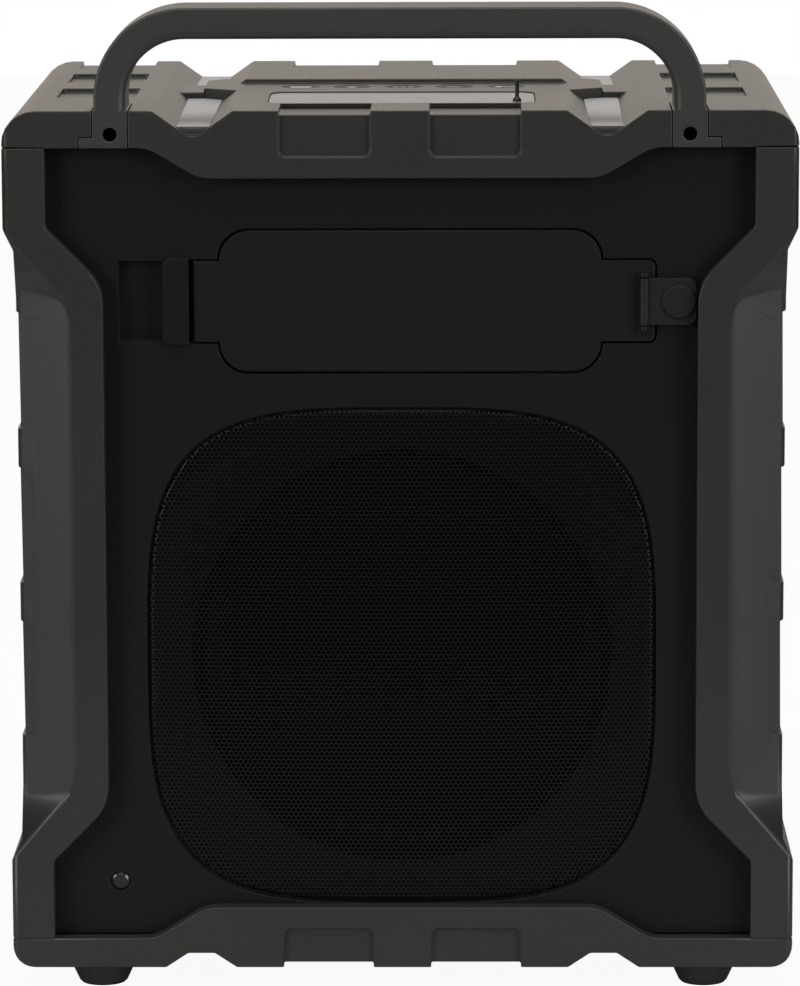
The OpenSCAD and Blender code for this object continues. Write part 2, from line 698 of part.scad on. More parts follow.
// Low wall in the notch that hides the lens's end
module lens_dam() {
    root = 0.5;
    lower = notch_floor / 2 + root;
    upper = lower + (lens_z - notch_z) * notch_lean;
    along_y(-half_d + lens_set - dam_t, -half_d + lens_set)
        polygon([
            [notch_x - lower, notch_z - root], [notch_x + lower, notch_z - root],
            [notch_x + upper, lens_z], [notch_x - upper, lens_z]
        ]);
}
module cap_hollow() {
    along_y(-half_d + wall, half_d - wall)
        polygon(rounded(mirrored(concat([
            [skirt_w / 2, top_skirt_z + wall, 0],
            [skirt_w / 2 + skirt_run, top_seam_z + wall, 0],
            [half_w - wall, top_seam_z + wall, 0]
        ], cap_ceiling))));
    along_y(-seat_y, seat_y)
        polygon(rounded(mirrored(concat([[half_w - wall, top_skirt_z - past, 0]], cap_ceiling))));
}
module top_cap() color(frame_colour) lift() {
    ramp = 14;
    deck_front = -half_d + pad_back + 1;
    difference() {
        intersection() {
            along_y(-half_d, half_d) polygon(rounded(mirrored(top_outline)));
            envelope();
        }
        // Hollow underside, left solid round the handle's pockets and the screw bosses
        difference() {
            cap_hollow();
            both_sides() {
                along_y(-half_d, -half_d + shoe_d + fit_gap + pocket_wall)
                    polygon(slab(shoe_in - fit_gap - pocket_wall, shoe_out + toe_w + fit_gap + pocket_wall,
                                 top_seam_z, body_h));
                rod_y(shoe_x, handle_screw_z, 9, -half_d + shoe_d, -half_d + shoe_d + pocket_wall + boss_l);
                for (y = [-cap_screw_y, cap_screw_y]) rod_z(cap_screw_x, y, 9, top_seam_z, body_h);
                for (y = [-1, 1])
                    rod_z(key_board_w / 2 - key_boss_end, key_y + y * (key_board_d / 2 - key_boss_in), key_boss_d,
                          key_board_z + board_t, body_h);
            }
        }
        // Light notches with their channel for the LED tape
        both_sides() {
            along_y(-half_d - past, half_d + past) polygon(notch(notch_z, 0));
            along_y(-half_d + lens_set, half_d - lens_set)
                polygon(slab(notch_x - led_w / 2 - 0.1, notch_x + led_w / 2 + 0.1, notch_z - led_t, notch_z + 1));
        }
        // Key deck, the plate's pocket, the key holes and the aerial's hole
        along_x(-notch_x + deck_in, notch_x - deck_in)
            polygon([
                [deck_front, body_h], [deck_front + ramp, deck_z], [deck_wall_y, deck_z],
                [deck_wall_y, body_h + past], [deck_front, body_h + past]
            ]);
        along_z(deck_z - plate_pocket, body_h) polygon(plate_outline(fit_gap));
        for (i = [0:key_n - 1])
            rod_z(key_place(i), key_y, key_d + 2 * move_gap, deck_under - past, body_h + past);
        rod_z(aerial_x, aerial_y, aerial_d + 0.4, deck_under - past, body_h);
        // Shallow recesses over the edges and in the corner blocks
        both_sides() both_faces()
            edge_recess(body_h - pad_drop, body_h + 4 * past, deck_z, body_h + past);
        both_sides() for (i = [0:2]) let (y = slot_y + i * slot_pitch)
            along_z(body_h - pad_t, body_h + past)
                polygon(slab(slot_x, slot_x + slot_w, y - slot_l / 2, y + slot_l / 2, 2));
        both_sides() handle_pocket();
        both_sides() {
            rod_y(shoe_x, handle_screw_z, handle_screw_d + 0.1, -half_d + shoe_d - 1,
                  -half_d + shoe_d + pocket_wall + boss_l - 1);
            for (y = [-cap_screw_y, cap_screw_y])
                rod_z(cap_screw_x, y, cap_screw_d + 0.1, top_seam_z - 1, top_seam_z + 9);
        }
        // Groove along the seam over the columns
        difference() {
            along_z(top_seam_z - 1, top_seam_z + seam_groove) square([body_w + 8, body_d + 8], center = true);
            envelope(seam_groove);
            along_y(-half_d - past, half_d + past) polygon(slab(-block_x, block_x, 0, body_h));
        }
    }
    both_sides() {
        light_bridge();
        both_faces() lens_dam();
    }
}

// Base cap: notched underside, edge recesses, bosses for the feet and posts for the amplifier
module base_hollow(face_y, rim) {
    along_y(-face_y, face_y)
        polygon(rounded(mirrored(concat([
            [base_notch_x - base_notch_w / 2 - base_notch_wall, base_floor, 0],
            [base_notch_x - base_notch_top / 2 - base_notch_wall, base_notch_t + base_floor, 0],
            [base_notch_x + base_notch_top / 2 + base_notch_wall, base_notch_t + base_floor, 0],
            [base_notch_x + base_notch_w / 2 + base_notch_wall, base_floor, 0],
            [half_w - wall, base_floor, 0]
        ], rim))));
}
module foot_places() for (x = [-foot_x, foot_x], y = [-half_d + foot_in, half_d - foot_in]) translate([x, y, 0]) children();
module bottom_cap() color(frame_colour) lift() {
    difference() {
        intersection() {
            along_y(-half_d, half_d) polygon(rounded(mirrored(base_outline)));
            envelope();
        }
        difference() {
            union() {
                base_hollow(seat_y, [[half_w - wall, base_skirt_h + past, 0]]);
                base_hollow(half_d - wall, [
                    [half_w - wall, base_seam_h - wall, 0],
                    [skirt_w / 2 + skirt_run, base_seam_h - wall, 0],
                    [skirt_w / 2, base_skirt_h - wall, 0]
                ]);
            }
            foot_places() cylinder(d = 11, h = foot_bite + 3);
            both_sides() for (y = [-cap_screw_y, cap_screw_y]) rod_z(cap_screw_x, y, 11, 0, base_seam_h);
            for (x = [-1, 1], y = [-1, 1])
                rod_z(board_x + x * (board_w / 2 - board_post_in), y * (board_d / 2 - board_post_in), board_post_d, 0,
                      base_floor + post_h);
        }
        both_sides() {
            along_y(-half_d - past, half_d + past)
                polygon([
                    [base_notch_x - base_notch_w / 2 - 1, -past / 2], [base_notch_x + base_notch_w / 2 + 1, -past / 2],
                    [base_notch_x + base_notch_top / 2, base_notch_t], [base_notch_x - base_notch_top / 2, base_notch_t]
                ]);
            both_faces() edge_recess(-4 * past, pad_rise, -past, pad_t);
            for (y = [-cap_screw_y, cap_screw_y]) {
                rod_z(cap_screw_x, y, cap_screw_d + 0.6, -past, base_seam_h + past);
                rod_z(cap_screw_x, y, cap_head_d + 1, -past, base_head_z);
            }
        }
        foot_places() translate([0, 0, -past]) cylinder(d = foot_screw_d + 0.1, h = foot_bite + past + 2);
        difference() {
            along_z(base_seam_h - seam_groove, base_seam_h + 1) square([body_w + 8, body_d + 8], center = true);
            envelope(seam_groove);
            along_y(-half_d - past, half_d + past) polygon(slab(-block_x, block_x, 0, body_h));
        }
    }
}

// Panels: plates clamped behind the lips of the frame
panel_outline = [
    [skirt_w / 2 - 2, base_skirt_h - wall, 0],
    [skirt_w / 2 + skirt_run - 9, base_seam_h + fit_gap, 0],
    [block_x + wall - 0.2, base_seam_h + fit_gap, 0],
    [block_x + wall - 0.2, slope_base_z, 0],
    [band_in_x + wall - 0.2, slope_base_z + slope_in, 0],
    [band_in_x + wall - 0.2, slope_top_z - slope_in, 0],
    [block_x + wall - 0.2, slope_top_z, 0],
    [block_x + wall - 0.2, top_seam_z - fit_gap, 0],
    [skirt_w / 2 + skirt_run - 9, top_seam_z - fit_gap, 0],
    [skirt_w / 2 - 2, top_skirt_z + wall, 0]
];
function hatch_outline(grow) =
    let (l = hatch_left - grow, r = hatch_right + grow,
         b = hatch_z - hatch_h / 2 - grow, t = hatch_z + hatch_h / 2 + grow,
         tb = hatch_z - tongue_h / 2 - grow, tt = hatch_z + tongue_h / 2 + grow,
         shoulder = (hatch_h - tongue_h) / 2 - 0.1, end = hatch_right + tongue_r + grow,
         hinge_end = grow > 0 ? hatch_left - tongue_l - grow : hinge_x)
    rounded([
        [l, b, shoulder], [r, b, shoulder], [r, tb, 0], [end, tb, 2.7 + grow], [end, tt, 2.7 + grow], [r, tt, 0],
        [r, t, shoulder], [l, t, shoulder], [l, tt, 0], [hinge_end, tt, 0], [hinge_end, tb, 0], [l, tb, 0]
    ], 8);
function bay_outline(grow) =
    slab(hatch_left + ledge_w - grow, hatch_right - ledge_w + grow,
         hatch_z - hatch_h / 2 + ledge_w - grow, hatch_z + hatch_h / 2 - ledge_w + grow, 9 + grow);
module ring_holes(y0, y1, d)
    for (i = [0:ring_screws - 1]) let (a = 360 * (i + 0.5) / ring_screws)
        rod_y(screw_ring_r * cos(a), grille_z + screw_ring_r * sin(a), d, y0, y1);

module rear_panel() color(panel_colour) lift() {
    grip_out = guard_x - guard_w;
    low = hatch_z - tongue_h / 2;
    high = hatch_z + tongue_h / 2;
    bevel = 2.5;
    difference() {
        union() {
            along_y(-seat_y, -back_y) polygon(rounded(mirrored(panel_outline)));
            // Guard bar beside the hinge
            along_y(-seat_y - guard_rise, -seat_y)
                polygon([
                    [guard_x, low - 1], [guard_x, high + 1], [grip_out + bevel, high + 1],
                    [grip_out, high + 1 - bevel], [grip_out, low - 1 + bevel], [grip_out + bevel, low - 1]
                ]);
        }
        // Rebate and mouth of the port bay, finger recess, hinge groove and pin holes
        along_y(-seat_y - past, rebate_y) polygon(hatch_outline(hatch_gap));
        along_y(-seat_y - past, -back_y + past) polygon(bay_outline(0));
        along_y(-seat_y - past, -back_y - 1.2) polygon(slab(grip_out - grip_w, grip_out, low, high, 1));
        rod_z(hinge_x, hinge_y, 2 * hinge_room, low - hatch_gap, high + hatch_gap);
        rod_z(hinge_x, hinge_y, hinge_pin_d + 0.02, low - pin_grip, high + pin_grip);
        rod_y(button_x, hatch_z, socket_d, -seat_y - past, -seat_y + plug_l + 0.6);
        // Grille rebate, driver opening, indicator hole and screw holes
        along_y(-seat_y - past, -seat_y + grille_set)
            translate([0, grille_z]) polygon(superellipse(grille_w / 2 + grille_gap, grille_h / 2 + grille_gap, grille_n));
        rod_y(0, grille_z, driver_d, -seat_y - past, -back_y + past);
        rod_y(indicator_x, indicator_z, indicator_d + 2 * fit_gap, -seat_y - past, -back_y + past);
        ring_holes(-back_y - 3, -back_y + past, ring_screw_d + 0.1);
    }
}
module front_panel() color(panel_colour) lift() {
    difference() {
        along_y(back_y, seat_y) polygon(rounded(mirrored(panel_outline)));
        along_y(seat_y - grille_set, seat_y + past)
            translate([0, front_grille_z])
                polygon(superellipse(grille_w / 2 + grille_gap, front_grille_h / 2 + grille_gap, front_grille_n));
        rod_y(0, grille_z, driver_d, back_y - past, seat_y + past);
        both_sides() rod_y(tweeter_x, tweeter_z, tweeter_d - 16, back_y - past, seat_y + past);
        ring_holes(back_y - past, back_y + 3, ring_screw_d + 0.1);
    }
}

// Handle: a flat strap bent into an arch, with keyed feet screwed into the cap
function strap(out, y0, y1) =
    rounded([
        [out - handle_t, y0, handle_edge], [out, y0, handle_brim], [out, y1, handle_brim],
        [out - handle_t, y1, handle_edge]
    ]);
module handle() color(frame_colour) lift() {
    out = handle_w / 2;
    y0 = -half_d;
    y1 = -half_d + handle_d;
    bend_x = out - handle_r;
    top = body_h + handle_rise;
    bend_z = top - handle_r;
    difference() {
        union() {
            along_x(-bend_x, bend_x)
                polygon(rounded([
                    [y0, top - handle_t, handle_edge], [y1, top - handle_t, handle_edge],
                    [y1, top, handle_brim], [y0, top, handle_brim]
                ]));
            both_sides() {
                translate([bend_x, 0, bend_z]) rotate([90, 0, 0])
                    rotate_extrude(angle = 90) polygon(strap(handle_r, -y1, -y0));
                along_z(body_h - 1, bend_z) polygon(strap(out, y0, y1));
                along_y(-half_d, -half_d + shoe_d)
                    polygon([
                        [shoe_in, top_seam_z], [shoe_out + toe_w, top_seam_z], [shoe_out + toe_w, top_seam_z + toe_h],
                        [shoe_out, top_seam_z + toe_h], [shoe_out, body_h], [shoe_in, body_h]
                    ]);
            }
        }
        both_sides() {
            rod_y(shoe_x, handle_screw_z, shoe_bore_d, -half_d - past, -half_d + shoe_bore_l);
            rod_y(shoe_x, handle_screw_z, handle_screw_d + 0.4, -half_d, -half_d + shoe_d + past);
        }
    }
}
// Pan-head screw with its point along +Z
module screw(d, head_d, head_h, length) {
    cylinder(d = d, h = length);
    difference() {
        translate([0, 0, -head_h]) cylinder(d = head_d, h = head_h);
        translate([0, 0, -head_h - 1]) for (a = [0, 90]) rotate(a)
            translate([-head_d * 0.3, -head_d * 0.08, 0]) cube([head_d * 0.6, head_d * 0.16, head_h * 0.5 + 1]);
    }
}
module handle_screws() color(steel_colour) lift() both_sides()
    translate([shoe_x, -half_d + shoe_bore_l, handle_screw_z]) rotate([-90, 0, 0])
        screw(handle_screw_d, shoe_bore_d - 0.5, 2.4, shoe_d - shoe_bore_l + pocket_wall + boss_l - 3);

// Light strips
module light_lens() {
    end = half_d - lens_set;
    lower = notch_floor / 2 - 0.05;
    upper = lower + (lens_top - notch_z) * notch_lean;
    intersection() {
        along_y(-end, end)
            polygon([
                [notch_x - lower, notch_z], [notch_x + lower, notch_z],
                [notch_x + upper, lens_top], [notch_x - upper, lens_top]
            ]);
        along_x(notch_x - notch_w, notch_x + notch_w)
            polygon([
                [-end, notch_z], [end, notch_z], [end, lens_z], [lens_flat / 2, lens_top], [-lens_flat / 2, lens_top],
                [-end, lens_z]
            ]);
    }
}
module light_lens_right() color(lens_colour) lift() light_lens();
module light_lens_left() color(lens_colour) lift() mirror([1, 0, 0]) light_lens();
module led_tape() {
    rear = -half_d + lens_set + 1;
    front = half_d - lens_set - 1;
    along_y(rear, front)
        polygon(slab(notch_x - led_w / 2, notch_x + led_w / 2, notch_z - led_t, notch_z - led_t + 0.8));
    for (y = [rear + led_pitch / 2:led_pitch:front - 3])
        translate([notch_x - 1.4, y - 1.4, notch_z - led_t + 0.7]) cube([2.8, 2.8, 0.9]);
}
module led_tape_right() color("ivory") lift() led_tape();
module led_tape_left() color("ivory") lift() mirror([1, 0, 0]) led_tape();

// Deck: glossy plate, aerial stub, keys and their board
function plate_outline(grow) =
    slab(-plate_w / 2 - grow, plate_w / 2 + grow, plate_y - plate_d / 2 - grow, plate_y + plate_d / 2 + grow, 8);
function key_place(i) = (i - (key_n - 1) / 2) * key_pitch;
plate_z = deck_z - plate_pocket + plate_t;
module top_plate() color(lens_colour) lift() difference() {
    along_z(plate_z - plate_t, plate_z) polygon(plate_outline(0));
    rod_z(aerial_x, aerial_y, aerial_d + 0.4, plate_z - plate_t - 1, plate_z + 1);
}
module aerial_stub() color(rubber_colour) lift() translate([aerial_x, aerial_y, plate_z]) rotate_extrude()
    polygon([
        [0, -plate_t - 2], [aerial_d / 2, -plate_t - 2], [aerial_d / 2, 0], [aerial_d / 2 + 1.2, 0],
        [aerial_d / 2 + 1, 1], [aerial_d / 2, 2.2], [aerial_d / 2, aerial_h - 0.6], [aerial_d / 2 - 0.5, aerial_h],
        [0, aerial_h]
    ]);
module key(i) color(frame_colour) lift() translate([key_place(i), key_y, 0]) {
    r = key_d / 2;
    dish = 0.3;
    rim = 0.8;
    flange_z = deck_under - move_gap;
    rotate_extrude()
        polygon([
            [0, stem_z], [stem_d / 2, stem_z], [stem_d / 2, stem_z + stem_l], [r + key_flange, stem_z + stem_l],
            [r + key_flange, flange_z], [r, flange_z], [r, deck_z - rim / 2], [r - rim / 2, deck_z],
            [r - rim, deck_z], [r - 2 * rim, deck_z - dish], [0, deck_z - dish]
        ]);
}
module key_1() key(0);
module key_2() key(1);
module key_3() key(2);
module key_4() key(3);
module key_5() key(4);
module key_board() color(board_colour) lift()
    along_z(key_board_z, key_board_z + board_t)
        polygon(slab(-key_board_w / 2, key_board_w / 2, key_y - key_board_d / 2, key_y + key_board_d / 2, 2));
module key_switches() color("dimgray") lift()
    for (i = [0:key_n - 1]) translate([key_place(i), key_y, key_board_z + board_t]) {
        along_z(0, switch_h - 1) square(switch_size, center = true);
        cylinder(d = 3.4, h = switch_h);
    }

// Hatch on its hinge pin, with its seal, and the latch tab that it carries
module hatch() color(hatch_colour) lift() {
    low = hatch_z - tongue_h / 2;
    high = hatch_z + tongue_h / 2;
    edge = 0.8;
    difference() {
        union() {
            along_y(hatch_y + edge, hatch_back_y) polygon(hatch_outline(0));
            along_y(hatch_y, hatch_y + 2 * edge) intersection() {
                polygon(hatch_outline(0));
                polygon(slab(hinge_x, hatch_right + tongue_r - edge, hatch_z - hatch_h / 2 + edge,
                             hatch_z + hatch_h / 2 - edge));
            }
            rod_z(hinge_x, hinge_y, 2 * knuckle_r, low, high);
            for (z = [hatch_z - latch_h / 2 - move_gap - ear_t, hatch_z + latch_h / 2 + move_gap]) {
                rod_z(latch_x, latch_y, 2 * latch_axis_r, z, z + ear_t);
                along_z(z, z + ear_t) polygon(slab(latch_x - latch_axis_r, latch_x + latch_axis_r, latch_y, hatch_y + edge));
            }
        }
        rod_z(hinge_x, hinge_y, hinge_pin_d + 2 * pin_play, low - 1, high + 1);
        rod_z(latch_x, latch_y, latch_pin_d + 0.02, hatch_z - latch_h, hatch_z + latch_h);
        // Groove for the seal
        along_y(hatch_back_y - 0.8, hatch_back_y + 1) difference() {
            polygon(bay_outline(3.5));
            polygon(bay_outline(1.5));
        }
    }
}
module hatch_seal() color(rubber_colour) lift()
    along_y(hatch_back_y - 0.8, hatch_back_y + seal_t) difference() {
        polygon(bay_outline(3.4));
        polygon(bay_outline(1.6));
    }
module hatch_pin() color(steel_colour) lift()
    rod_z(hinge_x, hinge_y, hinge_pin_d, hatch_z - tongue_h / 2 - pin_grip, hatch_z + tongue_h / 2 + pin_grip);
module latch_tab() color("#2c2c2b") lift() {
    low = hatch_z - latch_h / 2;
    difference() {
        union() {
            rod_z(latch_x, latch_y, 2 * latch_axis_r, low, low + latch_h);
            along_y(latch_in_y - latch_t, latch_in_y)
                polygon(rounded([
                    [latch_x, low, 0], [latch_end, low, 4], [latch_end, low + latch_h, 4], [latch_x, low + latch_h, 0]
                ]));
        }
        rod_z(latch_x, latch_y, latch_pin_d + 2 * pin_play, low - 1, low + latch_h + 1);
        rod_y(button_x, hatch_z, rivet_d, latch_in_y - latch_t - 1, latch_in_y + 1);
    }
}
module latch_button() color(hatch_colour) lift() round_y(hatch_z, button_x)
    polygon([
        [0, latch_in_y - latch_t - button_t], [button_d / 2 - 0.6, latch_in_y - latch_t - button_t],
        [button_d / 2, latch_in_y - latch_t - button_t + 0.6], [button_d / 2, latch_in_y - latch_t],
        [rivet_d / 2, latch_in_y - latch_t], [rivet_d / 2, latch_in_y], [plug_d / 2, latch_in_y],
        [plug_d / 2, latch_in_y + plug_l - 0.6], [plug_d / 2 - 0.6, latch_in_y + plug_l], [0, latch_in_y + plug_l]
    ]);
module latch_pin() color(steel_colour) lift()
    rod_z(latch_x, latch_y, latch_pin_d, hatch_z - latch_h / 2 - move_gap - ear_t, hatch_z + latch_h / 2 + move_gap + ear_t);

// Port bay behind the hatch, with its sockets on a board
usb_w = 13.2;
usb_h = 5.8;
port_end = 36.75;
port_pitch = (hatch_w - 2 * port_end) / 3;
port_x = [for (i = [-1.5:1:1.5]) hatch_x + i * port_pitch];
port_y = bay_floor_y + bay_wall;
port_post = 9;
port_board_y = port_y + port_post;
port_board_w = 4 * port_pitch;
port_board_h = 34;
module port_bay() color(panel_colour) lift() difference() {
    union() {
        along_y(-back_y, -back_y + bay_wall) polygon(bay_outline(bay_margin));
        along_y(-back_y, port_y) polygon(bay_outline(bay_wall));
        for (x = [-1, 1], z = [-1, 1])
            rod_y(hatch_x + x * (port_board_w / 2 - 4), hatch_z + z * (port_board_h / 2 - 4), 7, port_y - 1, port_board_y);
    }
    along_y(-back_y - 1, bay_floor_y) polygon(bay_outline(0));
    rod_y(port_x[0], hatch_z, 11.6, bay_floor_y - 1, port_y + 1);
    rod_y(port_x[1], hatch_z, 8.6, bay_floor_y - 1, port_y + 1);
    rod_y(port_x[2], hatch_z, 12.6, bay_floor_y - 1, port_y + 1);
    along_y(bay_floor_y - 1, port_y + 1)
        polygon(slab(port_x[3] - usb_w / 2 - fit_gap, port_x[3] + usb_w / 2 + fit_gap,
                     hatch_z - usb_h / 2 - fit_gap, hatch_z + usb_h / 2 + fit_gap));
}
module port_board() color(board_colour) lift()
    along_y(port_board_y, port_board_y + board_t)
        polygon(slab(hatch_x - port_board_w / 2, hatch_x + port_board_w / 2,
                     hatch_z - port_board_h / 2, hatch_z + port_board_h / 2, 2));
// Round socket with a square back, standing on the board
socket_floor = 1.5;
module socket(x, d, bore, back) {
    difference() {
        union() {
            rod_y(x, hatch_z, d, bay_floor_y, port_board_y);
            along_y(port_y + fit_gap, port_board_y)
                polygon(slab(x - back / 2, x + back / 2, hatch_z - back / 2, hatch_z + back / 2, 1));
        }
        rod_y(x, hatch_z, bore, bay_floor_y - 1, port_board_y - socket_floor);
    }
}
module dc_inlet() color(rubber_colour) lift() socket(port_x[0], 11, 6.4, 13);
module dc_pin() color(steel_colour) lift()
    rod_y(port_x[0], hatch_z, 2, bay_floor_y + 2, port_board_y - socket_floor);
module aux_jack() color(rubber_colour) lift() socket(port_x[1], 8, 3.6, 11);
module mic_jack() color(rubber_colour) lift() socket(port_x[2], 12, 6.5, 15);
module usb_socket() color(steel_colour) lift() {
    difference() {
        along_y(bay_floor_y, port_board_y)
            polygon(slab(port_x[3] - usb_w / 2, port_x[3] + usb_w / 2, hatch_z - usb_h / 2, hatch_z + usb_h / 2, 0.6));
        along_y(bay_floor_y - 1, port_board_y - 1)
            polygon(slab(port_x[3] - usb_w / 2 + 0.4, port_x[3] + usb_w / 2 - 0.4,
                         hatch_z - usb_h / 2 + 0.4, hatch_z + usb_h / 2 - 0.4, 0.3));
    }
    along_y(bay_floor_y + 1.5, port_board_y)
        polygon(slab(port_x[3] - usb_w / 2 + 0.8, port_x[3] + usb_w / 2 - 0.8, hatch_z + 0.2, hatch_z + 2));
}

// Grilles: formed sheets with a rim that stands in the panel's rebate
module grille_outline(height, mid, squareness, inset)
    translate([0, mid]) polygon(superellipse(grille_w / 2 - inset, height / 2 - inset, squareness));
// Everything behind a shallow dome whose crown lies the given drop below the grille's crown
module behind_dome(drop) {
    steps = 10;
    reach = grille_w * 0.6;
    crown = -seat_y - grille_rise + drop;
    deep = -seat_y + 4 * grille_set;
    round_y(grille_z)
        polygon(concat([for (i = [0:steps]) let (r = reach * i / steps) [r, crown + r * r / 2 / dome_r]],
                       [[reach, deep], [0, deep]]));
}
module rear_grille() color("#121212") lift() difference() {
    intersection() {
        along_y(-seat_y - 2 * grille_rise, -seat_y + grille_set)
            grille_outline(grille_h, grille_z, grille_n, 0);
        behind_dome(0);
    }
    intersection() {
        along_y(-seat_y - 2 * grille_rise, -seat_y + grille_set + 1)
            grille_outline(grille_h, grille_z, grille_n, grille_t);
        behind_dome(grille_t);
    }
}
module front_grille() color("#121212") lift() {
    rise = 2.5;
    bevel = 1;
    difference() {
        union() {
            along_y(seat_y - grille_set, seat_y + rise - bevel)
                grille_outline(front_grille_h, front_grille_z, front_grille_n, 0);
            along_y(seat_y + rise - bevel, seat_y + rise)
                grille_outline(front_grille_h, front_grille_z, front_grille_n, bevel);
        }
        along_y(seat_y - grille_set - 1, seat_y + rise - grille_t)
            grille_outline(front_grille_h, front_grille_z, front_grille_n, grille_t);
    }
}
module indicator_lens() color(lens_colour) lift() round_y(indicator_z, indicator_x)
    polygon([
        [0, -seat_y - 0.2], [indicator_d / 2 - 1, -seat_y - 0.2], [indicator_d / 2, -seat_y + 0.5],
        [indicator_d / 2, -back_y + 0.02], [indicator_d / 2 + 2, -back_y + 0.02], [indicator_d / 2 + 2, -back_y + 1.5],
        [0, -back_y + 1.5]
    ]);

// Drivers: a passive radiator behind the rear grille, a woofer and two tweeters behind the front one
ring_screw_d = 3;
module driver_ring() difference() {
    round_y(grille_z) polygon(slab(ring_in, ring_r, -back_y, -ring_back));
    ring_holes(-back_y - 1, -ring_back + 1, ring_screw_d + 0.4);
}
module driver_surround() {
    n = 12;
    roll_r = roll_w / 2;
    base = -ring_back;
    thin = roll_r - surround_t;
    outer = [for (i = [0:n]) let (a = 180 * i / n) [roll_mid + roll_r * cos(a), base - roll_r * sin(a)]];
    inner = [for (i = [n:-1:0]) let (a = 180 * i / n) [roll_mid + thin * cos(a), base - thin * sin(a)]];
    round_y(grille_z)
        polygon(concat(
            [[roll_mid + thin, base + surround_t], [ring_in + seat_w, base + surround_t], [ring_in + seat_w, base]],
            outer,
            [[cone_r - lip_w, base], [cone_r - lip_w, base + surround_t], [roll_mid - thin, base + surround_t]],
            inner
        ));
}
module radiator_frame() color("#202020") lift() driver_ring();
module radiator_surround() color(rubber_colour) lift() driver_surround();
module radiator_cone() color("#1a1a1a") lift() {
    base = -ring_back + surround_t;
    round_y(grille_z)
        polygon([
            [0, base + 4], [cone_r * 0.45, base + 4], [cone_r * 0.5, base + 2.5], [cone_r - lip_w - 3, base + 2.5],
            [cone_r - lip_w, base], [cone_r, base], [cone_r, base + 2], [cone_r - 8, base + 6],
            [cone_r * 0.5, base + 6], [cone_r * 0.45, base + 9], [0, base + 9]
        ]);
}
module front_driver() mirror([0, 1, 0]) children();
magnet_y = -ring_back + basket_d;
module woofer_basket() color("#202020") lift() front_driver() {
    hub = magnet_d / 2 - 6;
    shell = 2.5;
    front = -ring_back;
    driver_ring();
    difference() {
        round_y(grille_z)
            polygon([
                [ring_r - 3, front], [ring_r - 3, front + 4], [hub + shell, magnet_y], [0, magnet_y],
                [0, magnet_y - shell], [hub, magnet_y - shell], [ring_in + seat_w + 0.5, front + surround_t],
                [ring_in + seat_w + 0.5, front]
            ]);
        for (i = [0:5]) translate([0, 0, grille_z]) rotate([0, i * 60, 0])
            translate([hub + 4, front + 12, -14]) cube([ring_r, basket_d - 26, 28]);
        ring_holes(front - 1, front + 6, 7);
        rod_y(0, grille_z, 27, magnet_y - shell - 1, magnet_y + 1);
    }
}
module woofer_surround() color(rubber_colour) lift() front_driver() driver_surround();
coil_r = 13;
cone_depth = 38;
module woofer_cone() color("#181818") lift() front_driver() {
    base = -ring_back + surround_t;
    round_y(grille_z)
        polygon([
            [coil_r - 0.6, magnet_y + 5], [coil_r - 0.6, base + cone_depth],
            [cone_r - lip_w, base], [cone_r, base], [cone_r, base + 1], [coil_r, base + cone_depth + 1.5],
            [coil_r, magnet_y + 5]
        ]);
}
dust_r = 28;
dust_bulge = 9;
dust_t = 1;
dust_gap = 0.7;
module woofer_dust_cap() color("#141414") lift() front_driver() {
    base = -ring_back + surround_t;
    rim_y = base + cone_depth * (cone_r - lip_w - dust_r) / (cone_r - lip_w - coil_r);
    n = 8;
    round_y(grille_z)
        polygon(concat(
            [for (i = [0:n]) let (r = dust_r * i / n)
                [r, rim_y - dust_bulge * (1 - r * r / dust_r / dust_r) + dust_gap - dust_t]],
            [for (i = [n:-1:0]) let (r = (dust_r - 1.4 * dust_t) * i / n)
                [r, rim_y - dust_bulge * (1 - r * r / dust_r / dust_r) + dust_gap]]
        ));
}
module woofer_magnet() color("#505050") lift() front_driver() {
    gap_in = coil_r - 1.6;
    gap_out = coil_r + 1;
    gap_end = magnet_y + magnet_t - 6;
    round_y(grille_z)
        polygon([
            [gap_out, magnet_y], [magnet_d / 2 - 3, magnet_y], [magnet_d / 2, magnet_y + 4],
            [magnet_d / 2, magnet_y + magnet_t - 4], [magnet_d / 2 - 3, magnet_y + magnet_t], [0, magnet_y + magnet_t],
            [0, magnet_y + 2], [gap_in, magnet_y + 2], [gap_in, gap_end], [gap_out, gap_end]
        ]);
}
tweeter_flange_t = 3;
tweeter_lip = 9;
tweeter_body_l = 18;
tweeter_wall = 12;
dome_gap = 0.2;
dome_seat = 8;
dome_rise = 6;
module tweeter_bodies() color("#202020") lift() both_sides() {
    well_r = dome_d / 2 + dome_gap;
    flange_y = back_y - tweeter_flange_t;
    round_y(tweeter_z, tweeter_x)
        polygon([
            [well_r, flange_y], [tweeter_d / 2, flange_y], [tweeter_d / 2, back_y],
            [tweeter_d / 2 - tweeter_lip, back_y], [well_r, flange_y + tweeter_flange_t / 3]
        ]);
    round_y(tweeter_z, tweeter_x)
        polygon([
            [0, back_y - tweeter_body_l], [well_r + tweeter_wall, back_y - tweeter_body_l],
            [well_r + tweeter_wall, flange_y], [well_r, flange_y], [well_r, back_y - dome_seat], [0, back_y - dome_seat]
        ]);
}
module tweeter_domes() color("silver") lift() both_sides() {
    n = 8;
    r = dome_d / 2;
    edge_y = back_y - dome_seat + dome_rise / 6;
    round_y(tweeter_z, tweeter_x)
        polygon(concat([for (i = [0:n]) let (a = 90 * i / n) [r * cos(a), edge_y + dome_rise * sin(a)]],
                       [[0, back_y - dome_seat], [r, back_y - dome_seat]]));
}
ring_head_d = 5.6;
ring_head_h = 2.2;
ring_bite = 2.6;
